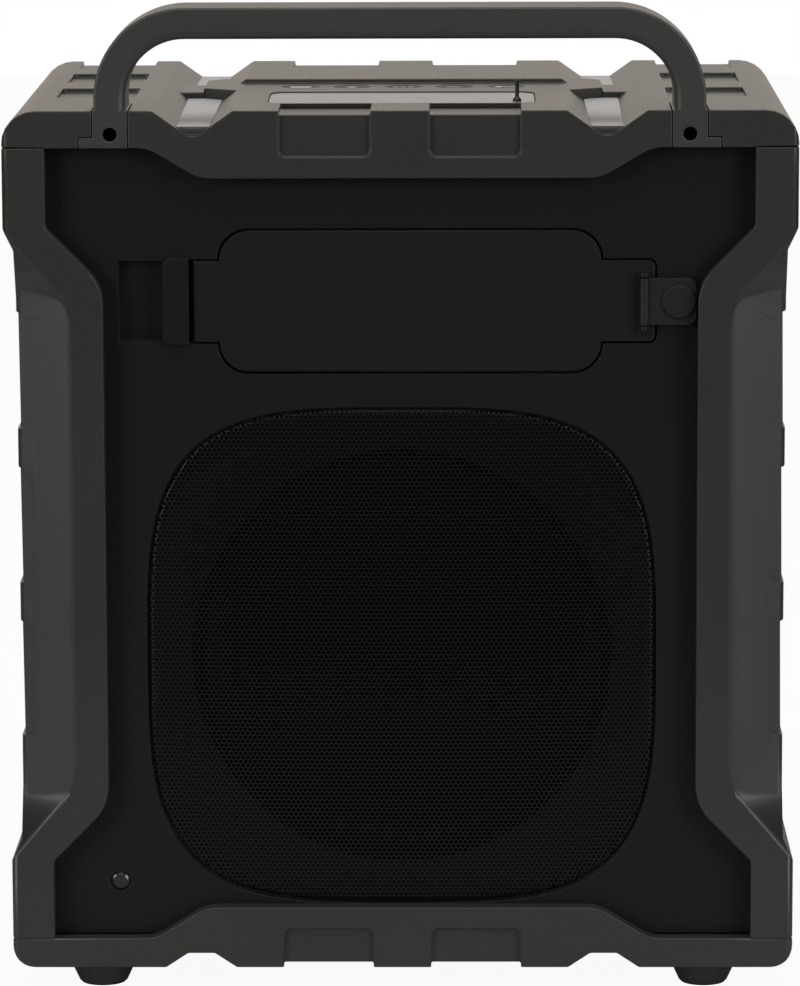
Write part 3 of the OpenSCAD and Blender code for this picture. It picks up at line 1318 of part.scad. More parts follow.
module ring_screws_at_rear()
    for (i = [0:ring_screws - 1]) let (a = 360 * (i + 0.5) / ring_screws)
        translate([screw_ring_r * cos(a), -ring_back, grille_z + screw_ring_r * sin(a)]) rotate([90, 0, 0])
            screw(ring_screw_d, ring_head_d, ring_head_h, ring_t + ring_bite);
module driver_screws() color(steel_colour) lift() both_faces() ring_screws_at_rear();

// Battery, amplifier and heat sink on the floor of the base cap
battery_y = -20;
module battery_pack() color("#27476e") lift()
    along_z(base_floor, base_floor + battery_h)
        polygon(slab(-battery_w / 2, battery_w / 2, battery_y - battery_d / 2, battery_y + battery_d / 2, 6));
module battery_strap() color(steel_colour) lift() {
    strap_t = 1.5;
    rear = battery_y - battery_d / 2;
    front = battery_y + battery_d / 2;
    top = base_floor + battery_h;
    tab = 14;
    for (x = [-battery_w / 4, battery_w / 4]) along_x(x - 9, x + 9)
        polygon([
            [rear - tab, base_floor], [rear, base_floor], [rear, top], [front, top], [front, base_floor],
            [front + tab, base_floor], [front + tab, base_floor + strap_t], [front + strap_t, base_floor + strap_t],
            [front + strap_t, top + strap_t], [rear - strap_t, top + strap_t], [rear - strap_t, base_floor + strap_t],
            [rear - tab, base_floor + strap_t]
        ]);
}
module amplifier_board() color(board_colour) lift()
    along_z(base_floor + post_h, base_floor + post_h + board_t)
        polygon(slab(board_x - board_w / 2, board_x + board_w / 2, -board_d / 2, board_d / 2, 2));
fin_n = 7;
fin_t = 2;
fin_h = 20;
sink_l = 60;
sink_base_t = 4;
sink_in = 3;
module heat_sink() color("silver") lift() {
    z = base_floor + post_h + board_t;
    sink_w = board_w - 2 * sink_in;
    pitch = (sink_w - fin_t) / (fin_n - 1);
    along_z(z, z + sink_base_t) polygon(slab(board_x - sink_w / 2, board_x + sink_w / 2, -sink_l / 2, sink_l / 2));
    for (i = [0:fin_n - 1]) translate([board_x - sink_w / 2 + i * pitch, -sink_l / 2, z])
        cube([fin_t, sink_l, sink_base_t + fin_h]);
}

// Feet and the screws that hold the frame together
foot_screw_d = 4;
foot_head_d = 8;
foot_head_h = 2.6;
foot_bite = 9;
foot_sink = 4.5;
module foot(x, y) color(rubber_colour) lift() translate([x * foot_x, y * (half_d - foot_in), -foot_h]) difference() {
    rotate_extrude()
        polygon([
            [0, 0], [foot_tip_d / 2 - 1, 0], [foot_tip_d / 2, 1], [foot_d / 2, foot_h - 3], [foot_d / 2, foot_h], [0, foot_h]
        ]);
    translate([0, 0, -1]) cylinder(d = foot_head_d + 1, h = foot_sink + 1);
    cylinder(d = foot_screw_d + 0.4, h = foot_h + 1);
}
module foot_rear_left() foot(-1, -1);
module foot_rear_right() foot(1, -1);
module foot_front_left() foot(-1, 1);
module foot_front_right() foot(1, 1);
module foot_screws() color(steel_colour) lift() foot_places()
    translate([0, 0, foot_sink - foot_h]) screw(foot_screw_d, foot_head_d, foot_head_h, foot_h - foot_sink + foot_bite);
module cap_screws() color(steel_colour) lift() both_sides() for (y = [-cap_screw_y, cap_screw_y])
    translate([cap_screw_x, y, top_seam_z - plate_end_t]) screw(cap_screw_d, cap_head_d, cap_head_h, plate_end_t + cap_bite);
module base_screws() color(steel_colour) lift() both_sides() for (y = [-cap_screw_y, cap_screw_y])
    translate([cap_screw_x, y, base_head_z])
        screw(cap_screw_d, cap_head_d, cap_head_h, base_seam_h - base_head_z + cap_bite + 1);

top_cap();
bottom_cap();
left_column();
right_column();
rear_panel();
front_panel();
handle();
handle_screws();
light_lens_left();
light_lens_right();
led_tape_left();
led_tape_right();
top_plate();
aerial_stub();
key_1();
key_2();
key_3();
key_4();
key_5();
key_board();
key_switches();
hatch();
hatch_seal();
hatch_pin();
latch_tab();
latch_button();
latch_pin();
port_bay();
port_board();
dc_inlet();
dc_pin();
aux_jack();
mic_jack();
usb_socket();
rear_grille();
front_grille();
indicator_lens();
radiator_frame();
radiator_surround();
radiator_cone();
woofer_basket();
woofer_surround();
woofer_cone();
woofer_dust_cap();
woofer_magnet();
tweeter_bodies();
tweeter_domes();
battery_pack();
battery_strap();
amplifier_board();
heat_sink();
foot_rear_left();
foot_rear_right();
foot_front_left();
foot_front_right();
foot_screws();
cap_screws();
base_screws();
driver_screws();
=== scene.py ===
# Outdoor speaker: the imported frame, dressed with its moulded, rubber, painted and frosted surfaces.
import math

import bmesh
import bpy
import numpy as np
from mathutils import Matrix, Quaternion, Vector


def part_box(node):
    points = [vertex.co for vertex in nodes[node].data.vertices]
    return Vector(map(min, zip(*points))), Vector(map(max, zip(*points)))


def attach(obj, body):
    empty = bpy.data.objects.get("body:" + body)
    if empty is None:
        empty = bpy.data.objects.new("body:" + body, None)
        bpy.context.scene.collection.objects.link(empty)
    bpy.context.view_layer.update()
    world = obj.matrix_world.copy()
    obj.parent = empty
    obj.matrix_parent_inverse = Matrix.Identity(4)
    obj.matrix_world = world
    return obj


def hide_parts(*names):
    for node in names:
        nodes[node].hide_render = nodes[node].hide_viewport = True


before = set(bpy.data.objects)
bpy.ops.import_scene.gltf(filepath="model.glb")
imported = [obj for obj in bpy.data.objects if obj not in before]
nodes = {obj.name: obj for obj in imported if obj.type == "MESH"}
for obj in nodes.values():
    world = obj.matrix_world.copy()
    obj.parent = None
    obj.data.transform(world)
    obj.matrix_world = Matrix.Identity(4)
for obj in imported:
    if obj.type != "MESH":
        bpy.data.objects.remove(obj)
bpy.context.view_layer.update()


# Studio: a white table top as the floor, a white wall far behind it, two broad soft boxes in front and one
# above. The table's front edge is near, so its bounce lights the lower parts of the speaker most. The lens
# is long and stands a little to the right of the middle, as the vanishing edges of the caps show.
def linear(code):
    """An sRGB hex colour as linear red, green, blue and alpha."""
    parts = [int(code[i:i + 2], 16) / 255 for i in (1, 3, 5)]
    return tuple(v / 12.92 if v <= 0.04045 else ((v + 0.055) / 1.055) ** 2.4 for v in parts) + (1.0,)


def add_node(tree, kind, inputs=None):
    """Adds a node with its settings and links. Each input is a value, or another node's output to link."""
    node = tree.nodes.new(kind)
    for socket, value in (inputs or {}).items():
        if isinstance(value, bpy.types.NodeSocket):
            tree.links.new(value, node.inputs[socket])
        else:
            node.inputs[socket].default_value = value
    return node


def emptied(owner):
    """The node tree of a world or a material, turned on and empty."""
    owner.use_nodes = True
    owner.node_tree.nodes.clear()
    return owner.node_tree


def split_by_ray(tree, output, seen, cast):
    """Shows one shader to the camera, and gives the other to the rays that light the speaker."""
    ray = add_node(tree, "ShaderNodeLightPath")
    mix = add_node(tree, "ShaderNodeMixShader", {
        0: ray.outputs["Is Camera Ray"], 1: cast.outputs[0], 2: seen.outputs[0]})
    add_node(tree, output, {"Surface": mix.outputs[0]})


def show(name, mesh_builder, material):
    """Puts a finished bmesh into the scene as an object at the origin."""
    mesh = bpy.data.meshes.new(name)
    mesh_builder.to_mesh(mesh)
    mesh_builder.free()
    mesh.materials.append(material)
    piece = bpy.data.objects.new(name, mesh)
    bpy.context.scene.collection.objects.link(piece)
    return piece


scene = bpy.context.scene
scene.view_settings.view_transform = "Standard"

# The room is white to the camera and nearly dark to the speaker
room_light = bpy.data.worlds.new("studio_room")
room_tree = emptied(room_light)
room_white = add_node(room_tree, "ShaderNodeBackground", {"Color": linear("#ffffff"), "Strength": 1.0})
room_glow = add_node(room_tree, "ShaderNodeBackground", {"Color": linear("#f4f2ef"), "Strength": 0.06})
split_by_ray(room_tree, "ShaderNodeOutputWorld", room_white, room_glow)
scene.world = room_light

# The table is an even white with a faint shadow to the camera, and throws back the light of a pale grey
EVEN_WHITE = 0.94
floor_white = bpy.data.materials.new("studio_floor_white")
floor_tree = emptied(floor_white)
floor_paint = add_node(floor_tree, "ShaderNodeBsdfDiffuse", {"Color": linear("#f6f5f3")})
floor_lift = add_node(floor_tree, "ShaderNodeEmission", {"Color": linear("#ffffff"), "Strength": 1.0})
floor_seen = add_node(floor_tree, "ShaderNodeMixShader", {
    0: EVEN_WHITE, 1: floor_paint.outputs[0], 2: floor_lift.outputs[0]})
floor_bounce = add_node(floor_tree, "ShaderNodeBsdfDiffuse", {"Color": linear("#c6c4c0")})
split_by_ray(floor_tree, "ShaderNodeOutputMaterial", floor_seen, floor_bounce)

# The wall's light is a little warm, as the tint of the pale parts of the top shows
wall_white = bpy.data.materials.new("studio_wall_white")
wall_tree = emptied(wall_white)
wall_seen = add_node(wall_tree, "ShaderNodeEmission", {"Color": linear("#ffffff"), "Strength": 1.0})
wall_glow = add_node(wall_tree, "ShaderNodeEmission", {"Color": linear("#f6ebe0"), "Strength": 1.1})
split_by_ray(wall_tree, "ShaderNodeOutputMaterial", wall_seen, wall_glow)

# Half sizes and middles of the table top and the wall, in metres
FLOOR_HALF_W = 0.75
FLOOR_HALF_D = 2.5
FLOOR_MIDDLE = (0, 1.9, 0)
WALL_HALF = 4
WALL_MIDDLE = (0, 4.6, 3.9)
floor_mesh = bmesh.new()
bmesh.ops.create_grid(floor_mesh, x_segments=1, y_segments=1, size=1, matrix=(
    Matrix.Translation(FLOOR_MIDDLE) @ Matrix.Diagonal((FLOOR_HALF_W, FLOOR_HALF_D, 1, 1))))
floor = show("studio_floor", floor_mesh, floor_white)
wall_mesh = bmesh.new()
bmesh.ops.create_grid(wall_mesh, x_segments=1, y_segments=1, size=WALL_HALF, matrix=(
    Matrix.Translation(WALL_MIDDLE) @ Matrix.Rotation(math.pi / 2, 4, "X")))
wall = show("studio_wall", wall_mesh, wall_white)

# Name, place, aim, size across and up in metres, and power in watts of each soft box
for name, place, aim, across, upright, power in (
        ("soft_box_left", (-2.4, -2.0, 1.1), (-0.05, 0, 0.2), 1.4, 1.8, 47),
        ("soft_box_right", (2.4, -2.0, 1.1), (0.05, 0, 0.2), 1.4, 1.8, 47),
        ("soft_box_above", (0, -0.9, 2.8), (0, 0, 0.2), 2.4, 1.6, 37)):
    lamp = bpy.data.lights.new(name, "AREA")
    lamp.shape = "RECTANGLE"
    lamp.size = across
    lamp.size_y = upright
    lamp.energy = power
    box_light = bpy.data.objects.new(name, lamp)
    box_light.location = place
    box_light.rotation_euler = (Vector(aim) - Vector(place)).to_track_quat("-Z", "Y").to_euler()
    scene.collection.objects.link(box_light)

MM = 0.001
PHOTO_HEIGHT = 986
FOCAL_PIXELS = 5473.3
ROLL_DEG = -0.19
eye = Vector((30.54, -2525.3, 635.84)) * MM
target = Vector((-1.95, -3.65, 208.69)) * MM
lens = bpy.data.cameras.new("studio_camera")
lens.sensor_width = 36
lens.lens = FOCAL_PIXELS / PHOTO_HEIGHT * lens.sensor_width
camera = bpy.data.objects.new("studio_camera", lens)
camera.location = eye
aim = (target - eye).to_track_quat("-Z", "Y") @ Quaternion((0, 0, 1), math.radians(ROLL_DEG))
camera.rotation_euler = aim.to_euler()
scene.collection.objects.link(camera)
scene.camera = camera


# Bumper frame: two end caps and two corner columns, moulded in dark grey ABS and screwed together.
# The moulds are spark-eroded, so the faces have a fine even grain, and the outer edges are eased.
# Width of the slow drift of tone, the usual range of a noise, and the gap at which two points are one
FLOW_MM = 70
NOISE_SPAN = (0.3, 0.7)
MERGE_MM = 0.002


def coated(tree, colour, tone_noise, fine_noise, gains, rough, bump, bump_mm, extra):
    """Wires a finish: tone from one noise, gloss and relief from another, and more values by socket."""
    shader = tree.nodes["Principled BSDF"]
    tone = add_node(tree, "ShaderNodeValToRGB", {"Fac": tone_noise.outputs[0]})
    for element, position, gain in zip(tone.color_ramp.elements, NOISE_SPAN, gains):
        element.position = position
        element.color = tuple(min(1, v * gain) for v in linear(colour)[:3]) + (1.0,)
    gloss = add_node(tree, "ShaderNodeMapRange", {
        "Value": fine_noise.outputs[0], "From Min": NOISE_SPAN[0], "From Max": NOISE_SPAN[1],
        "To Min": rough[0], "To Max": rough[1]})
    relief = add_node(tree, "ShaderNodeBump", {
        "Height": fine_noise.outputs[0], "Strength": bump, "Distance": bump_mm * MM})
    tree.links.new(tone.outputs[0], shader.inputs["Base Color"])
    tree.links.new(gloss.outputs[0], shader.inputs["Roughness"])
    tree.links.new(relief.outputs[0], shader.inputs["Normal"])
    for socket, value in extra.items():
        shader.inputs[socket.replace("_", " ")].default_value = value


def moulded(name, colour, rough, grain_mm, depth_mm, drift=0.07, **extra):
    """Moulded plastic or rubber: gloss and relief follow the mould's grain, and the tone drifts slowly."""
    material = bpy.data.materials.new(name)
    material.use_nodes = True
    tree = material.node_tree
    place = add_node(tree, "ShaderNodeTexCoord").outputs["Object"]
    flow = add_node(tree, "ShaderNodeTexNoise", {
        "Vector": place, "Scale": 1 / (FLOW_MM * MM), "Detail": 3.0})
    grain = add_node(tree, "ShaderNodeTexNoise", {
        "Vector": place, "Scale": 1 / (grain_mm * MM), "Detail": 2.0})
    coated(tree, colour, flow, grain, gains=(1 - drift, 1 + drift), rough=(rough - 0.05, rough + 0.05),
           bump=0.6, bump_mm=depth_mm, extra=extra)
    return material


def eased(name, ease_mm, material, body="root", sharp_deg=28, room=3, rim_mm=0):
    """Stands for a CAD moulding: a merged copy whose sharp edges are eased where their faces have room.

    room is the width that a face needs, in widths of the easing. With rim_mm, the shallow edges round the
    front and the back are rolled over first, to that width.
    """
    flat_deg = 0.5
    crease_deg = 50
    shallow_deg = 15
    steep_deg = 65
    rim_room = 1.2
    plane_mm = 0.05
    shell = bmesh.new()
    shell.from_mesh(nodes[name].data)
    bmesh.ops.remove_doubles(shell, verts=shell.verts, dist=MERGE_MM * MM)
    bmesh.ops.dissolve_limit(shell, angle_limit=math.radians(flat_deg), verts=shell.verts, edges=shell.edges)
    low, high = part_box(name)

    def angled(edge, least_deg):
        """Whether the two faces beside an edge turn by this much."""
        return len(edge.link_faces) == 2 and edge.calc_face_angle(0) >= math.radians(least_deg)

    def roomy(edge, need_mm):
        """Whether both faces beside an edge reach further from it than this."""
        start = edge.verts[0].co
        along = (edge.verts[1].co - start).normalized()
        reach = [max(((v.co - start) - along * (v.co - start).dot(along)).length for v in face.verts)
                 for face in edge.link_faces]
        return min(reach) > need_mm * MM

    def at_face(edge):
        """Whether an edge lies in the front or the back plane of the piece."""
        return any(all(abs(v.co.y - face_y) < plane_mm * MM for v in edge.verts)
                   for face_y in (low[1], high[1]))

    def bevel(edges, width_mm, segments):
        bmesh.ops.bevel(shell, geom=edges, offset=width_mm * MM, offset_type="OFFSET", segments=segments,
                        profile=0.5, affect="EDGES", material=-1)

    if rim_mm:
        rims = [edge for edge in shell.edges if angled(edge, shallow_deg) and not angled(edge, steep_deg)
                and at_face(edge) and roomy(edge, rim_room * rim_mm)]
        bevel(rims, rim_mm, 3)
    corners = [edge for edge in shell.edges if angled(edge, sharp_deg) and roomy(edge, room * ease_mm)]
    bevel(corners, ease_mm, 2)
    for vert in shell.verts:
        vert.co = [min(max(v, a), b) for v, a, b in zip(vert.co, low, high)]
    for face in shell.faces:
        face.smooth = True
        face.material_index = 0
    piece = show(name + "_moulding", shell, material)
    piece.data.set_sharp_from_angle(angle=math.radians(crease_deg))
    flats = piece.modifiers.new("flat_faces", "WEIGHTED_NORMAL")
    flats.keep_sharp = True
    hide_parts(name)
    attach(piece, body)


# Spark-eroded ABS is dark grey with soft, broad lights. Its grain is drawn at 0.8 mm, about three times the
# real one, so that it shows in the picture, and the other mouldings' grains are drawn coarse too
frame_abs = moulded("abs_spark_eroded_grey", "#2d2d2b", 0.4, 0.8, 0.02, Specular_IOR_Level=0.45)
for name in ("top_cap", "bottom_cap"):
    eased(name, 0.6, frame_abs)
for name in ("left_column", "right_column"):
    eased(name, 0.5, frame_abs, sharp_deg=60, room=10, rim_mm=1.2)


# Panels: flat plates of near-black ABS, moulded with the frame's grain and clamped behind the frame's lips.
# The port bay is a box of the same plastic behind an opening in the rear panel.
# Less gloss than the frame's, so the panels look deeper than their colour
panel_abs = moulded("abs_spark_eroded_black", "#0d0d0b", 0.52, 0.8, 0.02, Specular_IOR_Level=0.26)
for name in ("rear_panel", "front_panel", "port_bay"):
    eased(name, 0.4, panel_abs)


# Handle: one strap of glass-filled nylon in an arch, moulded with a shoe at each end.
# The shoes are keyed into the top cap and held by two sunk screws.
# The nylon is a little paler and duller than the frame
handle_nylon = moulded("nylon_moulded_grey", "#353533", 0.45, 0.8, 0.02)
eased("handle", 0.4, handle_nylon)


# Screws: steel screws with cold-headed pan heads, blackened against rust.
# They sit sunk in the handle's shoes, the caps, the feet and the driver rings.
def dress(name, material):
    """Finishes a CAD solid that has its real shape: its material, and smooth shading over its curves."""
    crease_deg = 32
    solid = nodes[name]
    solid.data.materials.clear()
    solid.data.materials.append(material)
    solid.data.polygons.foreach_set("use_smooth", [True] * len(solid.data.polygons))
    weld = solid.modifiers.new("joined_faces", "WELD")
    weld.merge_threshold = MERGE_MM * MM
    creases = solid.modifiers.new("creases", "EDGE_SPLIT")
    creases.split_angle = math.radians(crease_deg)


def worked_metal(name, colour, rough, mark_mm, stretch=(1, 1, 1), metallic=1.0, **extra):
    """Metal with fine tool marks that vary its tone and gloss, drawn out along the direction of working."""
    material = bpy.data.materials.new(name)
    material.use_nodes = True
    tree = material.node_tree
    place = add_node(tree, "ShaderNodeTexCoord").outputs["Object"]
    drawn = add_node(tree, "ShaderNodeMapping", {"Vector": place, "Scale": stretch})
    marks = add_node(tree, "ShaderNodeTexNoise", {
        "Vector": drawn.outputs[0], "Scale": 1 / (mark_mm * MM), "Detail": 4.0})
    coated(tree, colour, marks, marks, gains=(0.88, 1.08), rough=(rough - 0.08, rough + 0.08),
           bump=0.3, bump_mm=0.01, extra={"Metallic": metallic, **extra})
    return material


# Blackened steel is dark, with small glints on the heads' edges
screw_steel = worked_metal("steel_blackened_cold_headed", "#2b2b2b", 0.42, 0.5)
for name in ("handle_screws", "cap_screws", "base_screws", "foot_screws", "driver_screws"):
    dress(name, screw_steel)


# Light strips: polycarbonate lenses, moulded with a frosted face to fill the V notches of the top cap.
# A lacquered LED tape lies behind each lens.
# The frost is pale and even, with hardly a highlight; the lacquer is cream with a slight shine
lens_frost = moulded("polycarbonate_frosted", "#b6b6b9", 0.5, 0.5, 0.008, drift=0.03,
                     Specular_IOR_Level=0.25)
tape_lacquer = moulded("led_tape_lacquered", "#e6e4d6", 0.3, 1.2, 0.01, drift=0.04)
for side in ("left", "right"):
    eased("light_lens_" + side, 0.3, lens_frost)
    dress("led_tape_" + side, tape_lacquer)


# Deck: a pale acrylic plate, cut, polished and let into the top cap.
# The stub of an aerial, in a boot of moulded black TPE, stands in a hole in the plate.
# The plate is a pale grey with a soft sheen, and the boot black with a narrow light
plate_acrylic = moulded("acrylic_polished_pale", "#949297", 0.36, 2.0, 0.003, drift=0.03,
                        Specular_IOR_Level=0.25)
eased("top_plate", 0.25, plate_acrylic)
aerial_boot = moulded("tpe_smooth_black", "#131313", 0.35, 0.6, 0.008)
dress("aerial_stub", aerial_boot)


# Keys: five dished buttons of moulded silicone rubber, each with a pale mark printed in its dish.
# They stand in holes in the top cap, over nylon switches on one lacquered board.
# Silicone is dull dark grey, the ink flat and pale, the board deep green with a shine, the nylon black
key_silicone = moulded("silicone_moulded_grey", "#302f2e", 0.55, 0.5, 0.01)
print_ink = moulded("pad_print_ink_pale", "#b9b6b0", 0.6, 0.4, 0.004, drift=0.05)
board_lacquer = moulded("glass_epoxy_lacquered_green", "#1d4a2b", 0.3, 1.5, 0.01, drift=0.12)
switch_nylon = moulded("nylon_moulded_black", "#141414", 0.45, 0.5, 0.01)
dress("key_board", board_lacquer)
dress("key_switches", switch_nylon)


def bar(mark, x, across, along):
    """A printed bar in a key's mark, in millimetres from the key's middle."""
    bmesh.ops.create_grid(mark, x_segments=1, y_segments=1, size=0.5, matrix=(
        Matrix.Translation((x * MM, 0, 0)) @ Matrix.Diagonal((across * MM, along * MM, 1, 1))))


def dot(mark, x, radius, sides=24, turn_deg=0):
    """A printed disc in a key's mark, or a triangle when it has three sides."""
    bmesh.ops.create_circle(mark, cap_ends=True, segments=sides, radius=radius * MM, matrix=(
        Matrix.Translation((x * MM, 0, 0)) @ Matrix.Rotation(math.radians(turn_deg), 4, "Z")))


# Depth of a key's dish, and how far the ink stands above its bottom, in millimetres
KEY_DISH = 0.3
INK_LIFT = 0.03
for i in range(1, 6):
    key = f"key_{i}"
    dress(key, key_silicone)
    low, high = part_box(key)
    mark = bmesh.new()
    if i == 1:
        bar(mark, 0, 9.6, 7)
    elif i == 2:
        dot(mark, 0, 2.4)
    elif i == 3:
        dot(mark, -3.6, 2.2, sides=3, turn_deg=90)
        dot(mark, 0, 1.2)
        dot(mark, 3.6, 2.2, sides=3, turn_deg=-90)
    elif i == 4:
        bar(mark, 0, 7, 1.6)
    else:
        bar(mark, -3.4, 3, 6)
        dot(mark, 0, 1.4)
        bar(mark, 3.4, 3, 3)
    middle = (Vector(low) + Vector(high)) / 2
    ink_z = high[2] - (KEY_DISH - INK_LIFT) * MM
    bmesh.ops.translate(mark, verts=mark.verts, vec=(middle.x, middle.y, ink_z))
    piece = show(key + "_mark", mark, print_ink)
    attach(piece, key)


# Port hatch: a flap of soft TPE, moulded in one with its tongue, with an extruded seal in its back.
# It turns on a drawn steel pin at one end, and a snap latch on a second pin closes it at the other.
# Soft-touch black takes hardly any light, the latch's grey a little more; the pins are a dull dark metal
hatch_tpe = moulded("tpe_soft_touch_black", "#111110", 0.52, 0.7, 0.012, Specular_IOR_Level=0.27)
tab_tpe = moulded("tpe_soft_touch_dark_grey", "#1a1a18", 0.52, 0.7, 0.012, Specular_IOR_Level=0.3)
seal_rubber = moulded("epdm_extruded_black", "#101010", 0.7, 0.5, 0.02)
pin_steel = worked_metal("steel_drawn_phosphated", "#121211", 0.55, 0.3, (1, 1, 0.1))
eased("hatch", 0.35, hatch_tpe, "hatch")
eased("latch_tab", 0.3, tab_tpe, "latch")
eased("latch_button", 0.45, tab_tpe, "latch", room=1.5)
dress("hatch_seal", seal_rubber)
dress("hatch_pin", pin_steel)
dress("latch_pin", pin_steel)


# Sockets: black nylon jacks and a folded steel port, soldered to a green board behind the bay.
# The steel is nickel plated, so it is bright and a little uneven.
socket_plate = worked_metal("steel_nickel_plated", "#bdbcb7", 0.25, 0.6)
for name in ("dc_inlet", "aux_jack", "mic_jack"):
    dress(name, switch_nylon)
for name in ("usb_socket", "dc_pin"):
    dress(name, socket_plate)
dress("port_board", board_lacquer)


# Grilles: steel sheet punched with small holes in staggered rows, the rear one formed to a crown, and each
# with a rolled rim that sits in the panel's rebate. The holes are open in the mesh, and follow the crown.
# The sizes here are in millimetres
HOLE_PITCH = 2.15
HOLE_WEB = 0.62
HOLE_SIDES = 6
SHEET_THICK = 0.6
RIM_ROLL = 2.4
RIM_SIDES = 192
REBATE_GAP = 0.05
WEB_MERGE = 0.01
# Bare metal outside the last holes, and the least web round a hole that the outline cuts short
EDGE_GAP = 0.15
EDGE_WEB = 0.4
# How far inside the outline a hole's middle lies at least, in pitches
EDGE_HOLE = 0.15
# Where the plain strip of the rim starts, as a share of the roll, and its least width
STRIP_START = 0.75
STRIP_LEAST = 0.05
# A point this far behind the rim, from which the strip looks away
RIM_BEHIND = 60


def new_verts(made):
    """The vertices among what a bmesh operator made."""
    return [item for item in made["geom"] if isinstance(item, bmesh.types.BMVert)]


def repeat(mesh, step):
    """Doubles all that a bmesh holds, with the copy a step away."""
    made = bmesh.ops.duplicate(mesh, geom=mesh.verts[:] + mesh.edges[:] + mesh.faces[:])
    bmesh.ops.translate(mesh, vec=step, verts=new_verts(made))


def hole_field(width, height):
    """A flat field of open holes over this size, looking to -Y, and the count of vertices to a hole."""
    row = HOLE_PITCH * math.sqrt(3) / 2
    field = bmesh.new()
    made = bmesh.ops.create_circle(field, cap_ends=True, segments=HOLE_SIDES,
                                   radius=HOLE_PITCH / math.sqrt(3),
                                   matrix=Matrix.Rotation(math.pi / 2, 4, "X"))
    disc = made["verts"][0].link_faces[0]
    bmesh.ops.inset_individual(field, faces=[disc], thickness=HOLE_WEB / 2)
    lip = list(disc.edges)
    bmesh.ops.delete(field, geom=[disc], context="FACES_ONLY")
    walls = bmesh.ops.extrude_edge_only(field, edges=lip)
    bmesh.ops.translate(field, vec=(0, SHEET_THICK, 0), verts=new_verts(walls))
    for face in field.faces:
        middle = face.calc_center_median()
        outward = Vector((0, -1, 0)) if abs(face.normal.y) > 0.5 else Vector((-middle.x, 0, -middle.z))
        if face.normal.dot(outward) < 0:
            face.normal_flip()
    hole_verts = len(field.verts)
    columns = 1
    while columns * HOLE_PITCH < width + 2 * HOLE_PITCH:
        repeat(field, (columns * HOLE_PITCH, 0, 0))
        columns *= 2
    repeat(field, (HOLE_PITCH / 2, 0, row))
    rows = 2
    while rows * row < height + 2 * row:
        repeat(field, (0, 0, rows * row))
        rows *= 2
    bmesh.ops.translate(field, verts=field.verts, vec=(
        -(columns - 0.5) * HOLE_PITCH / 2, 0, -(rows - 1) * row / 2))
    return field, hole_verts


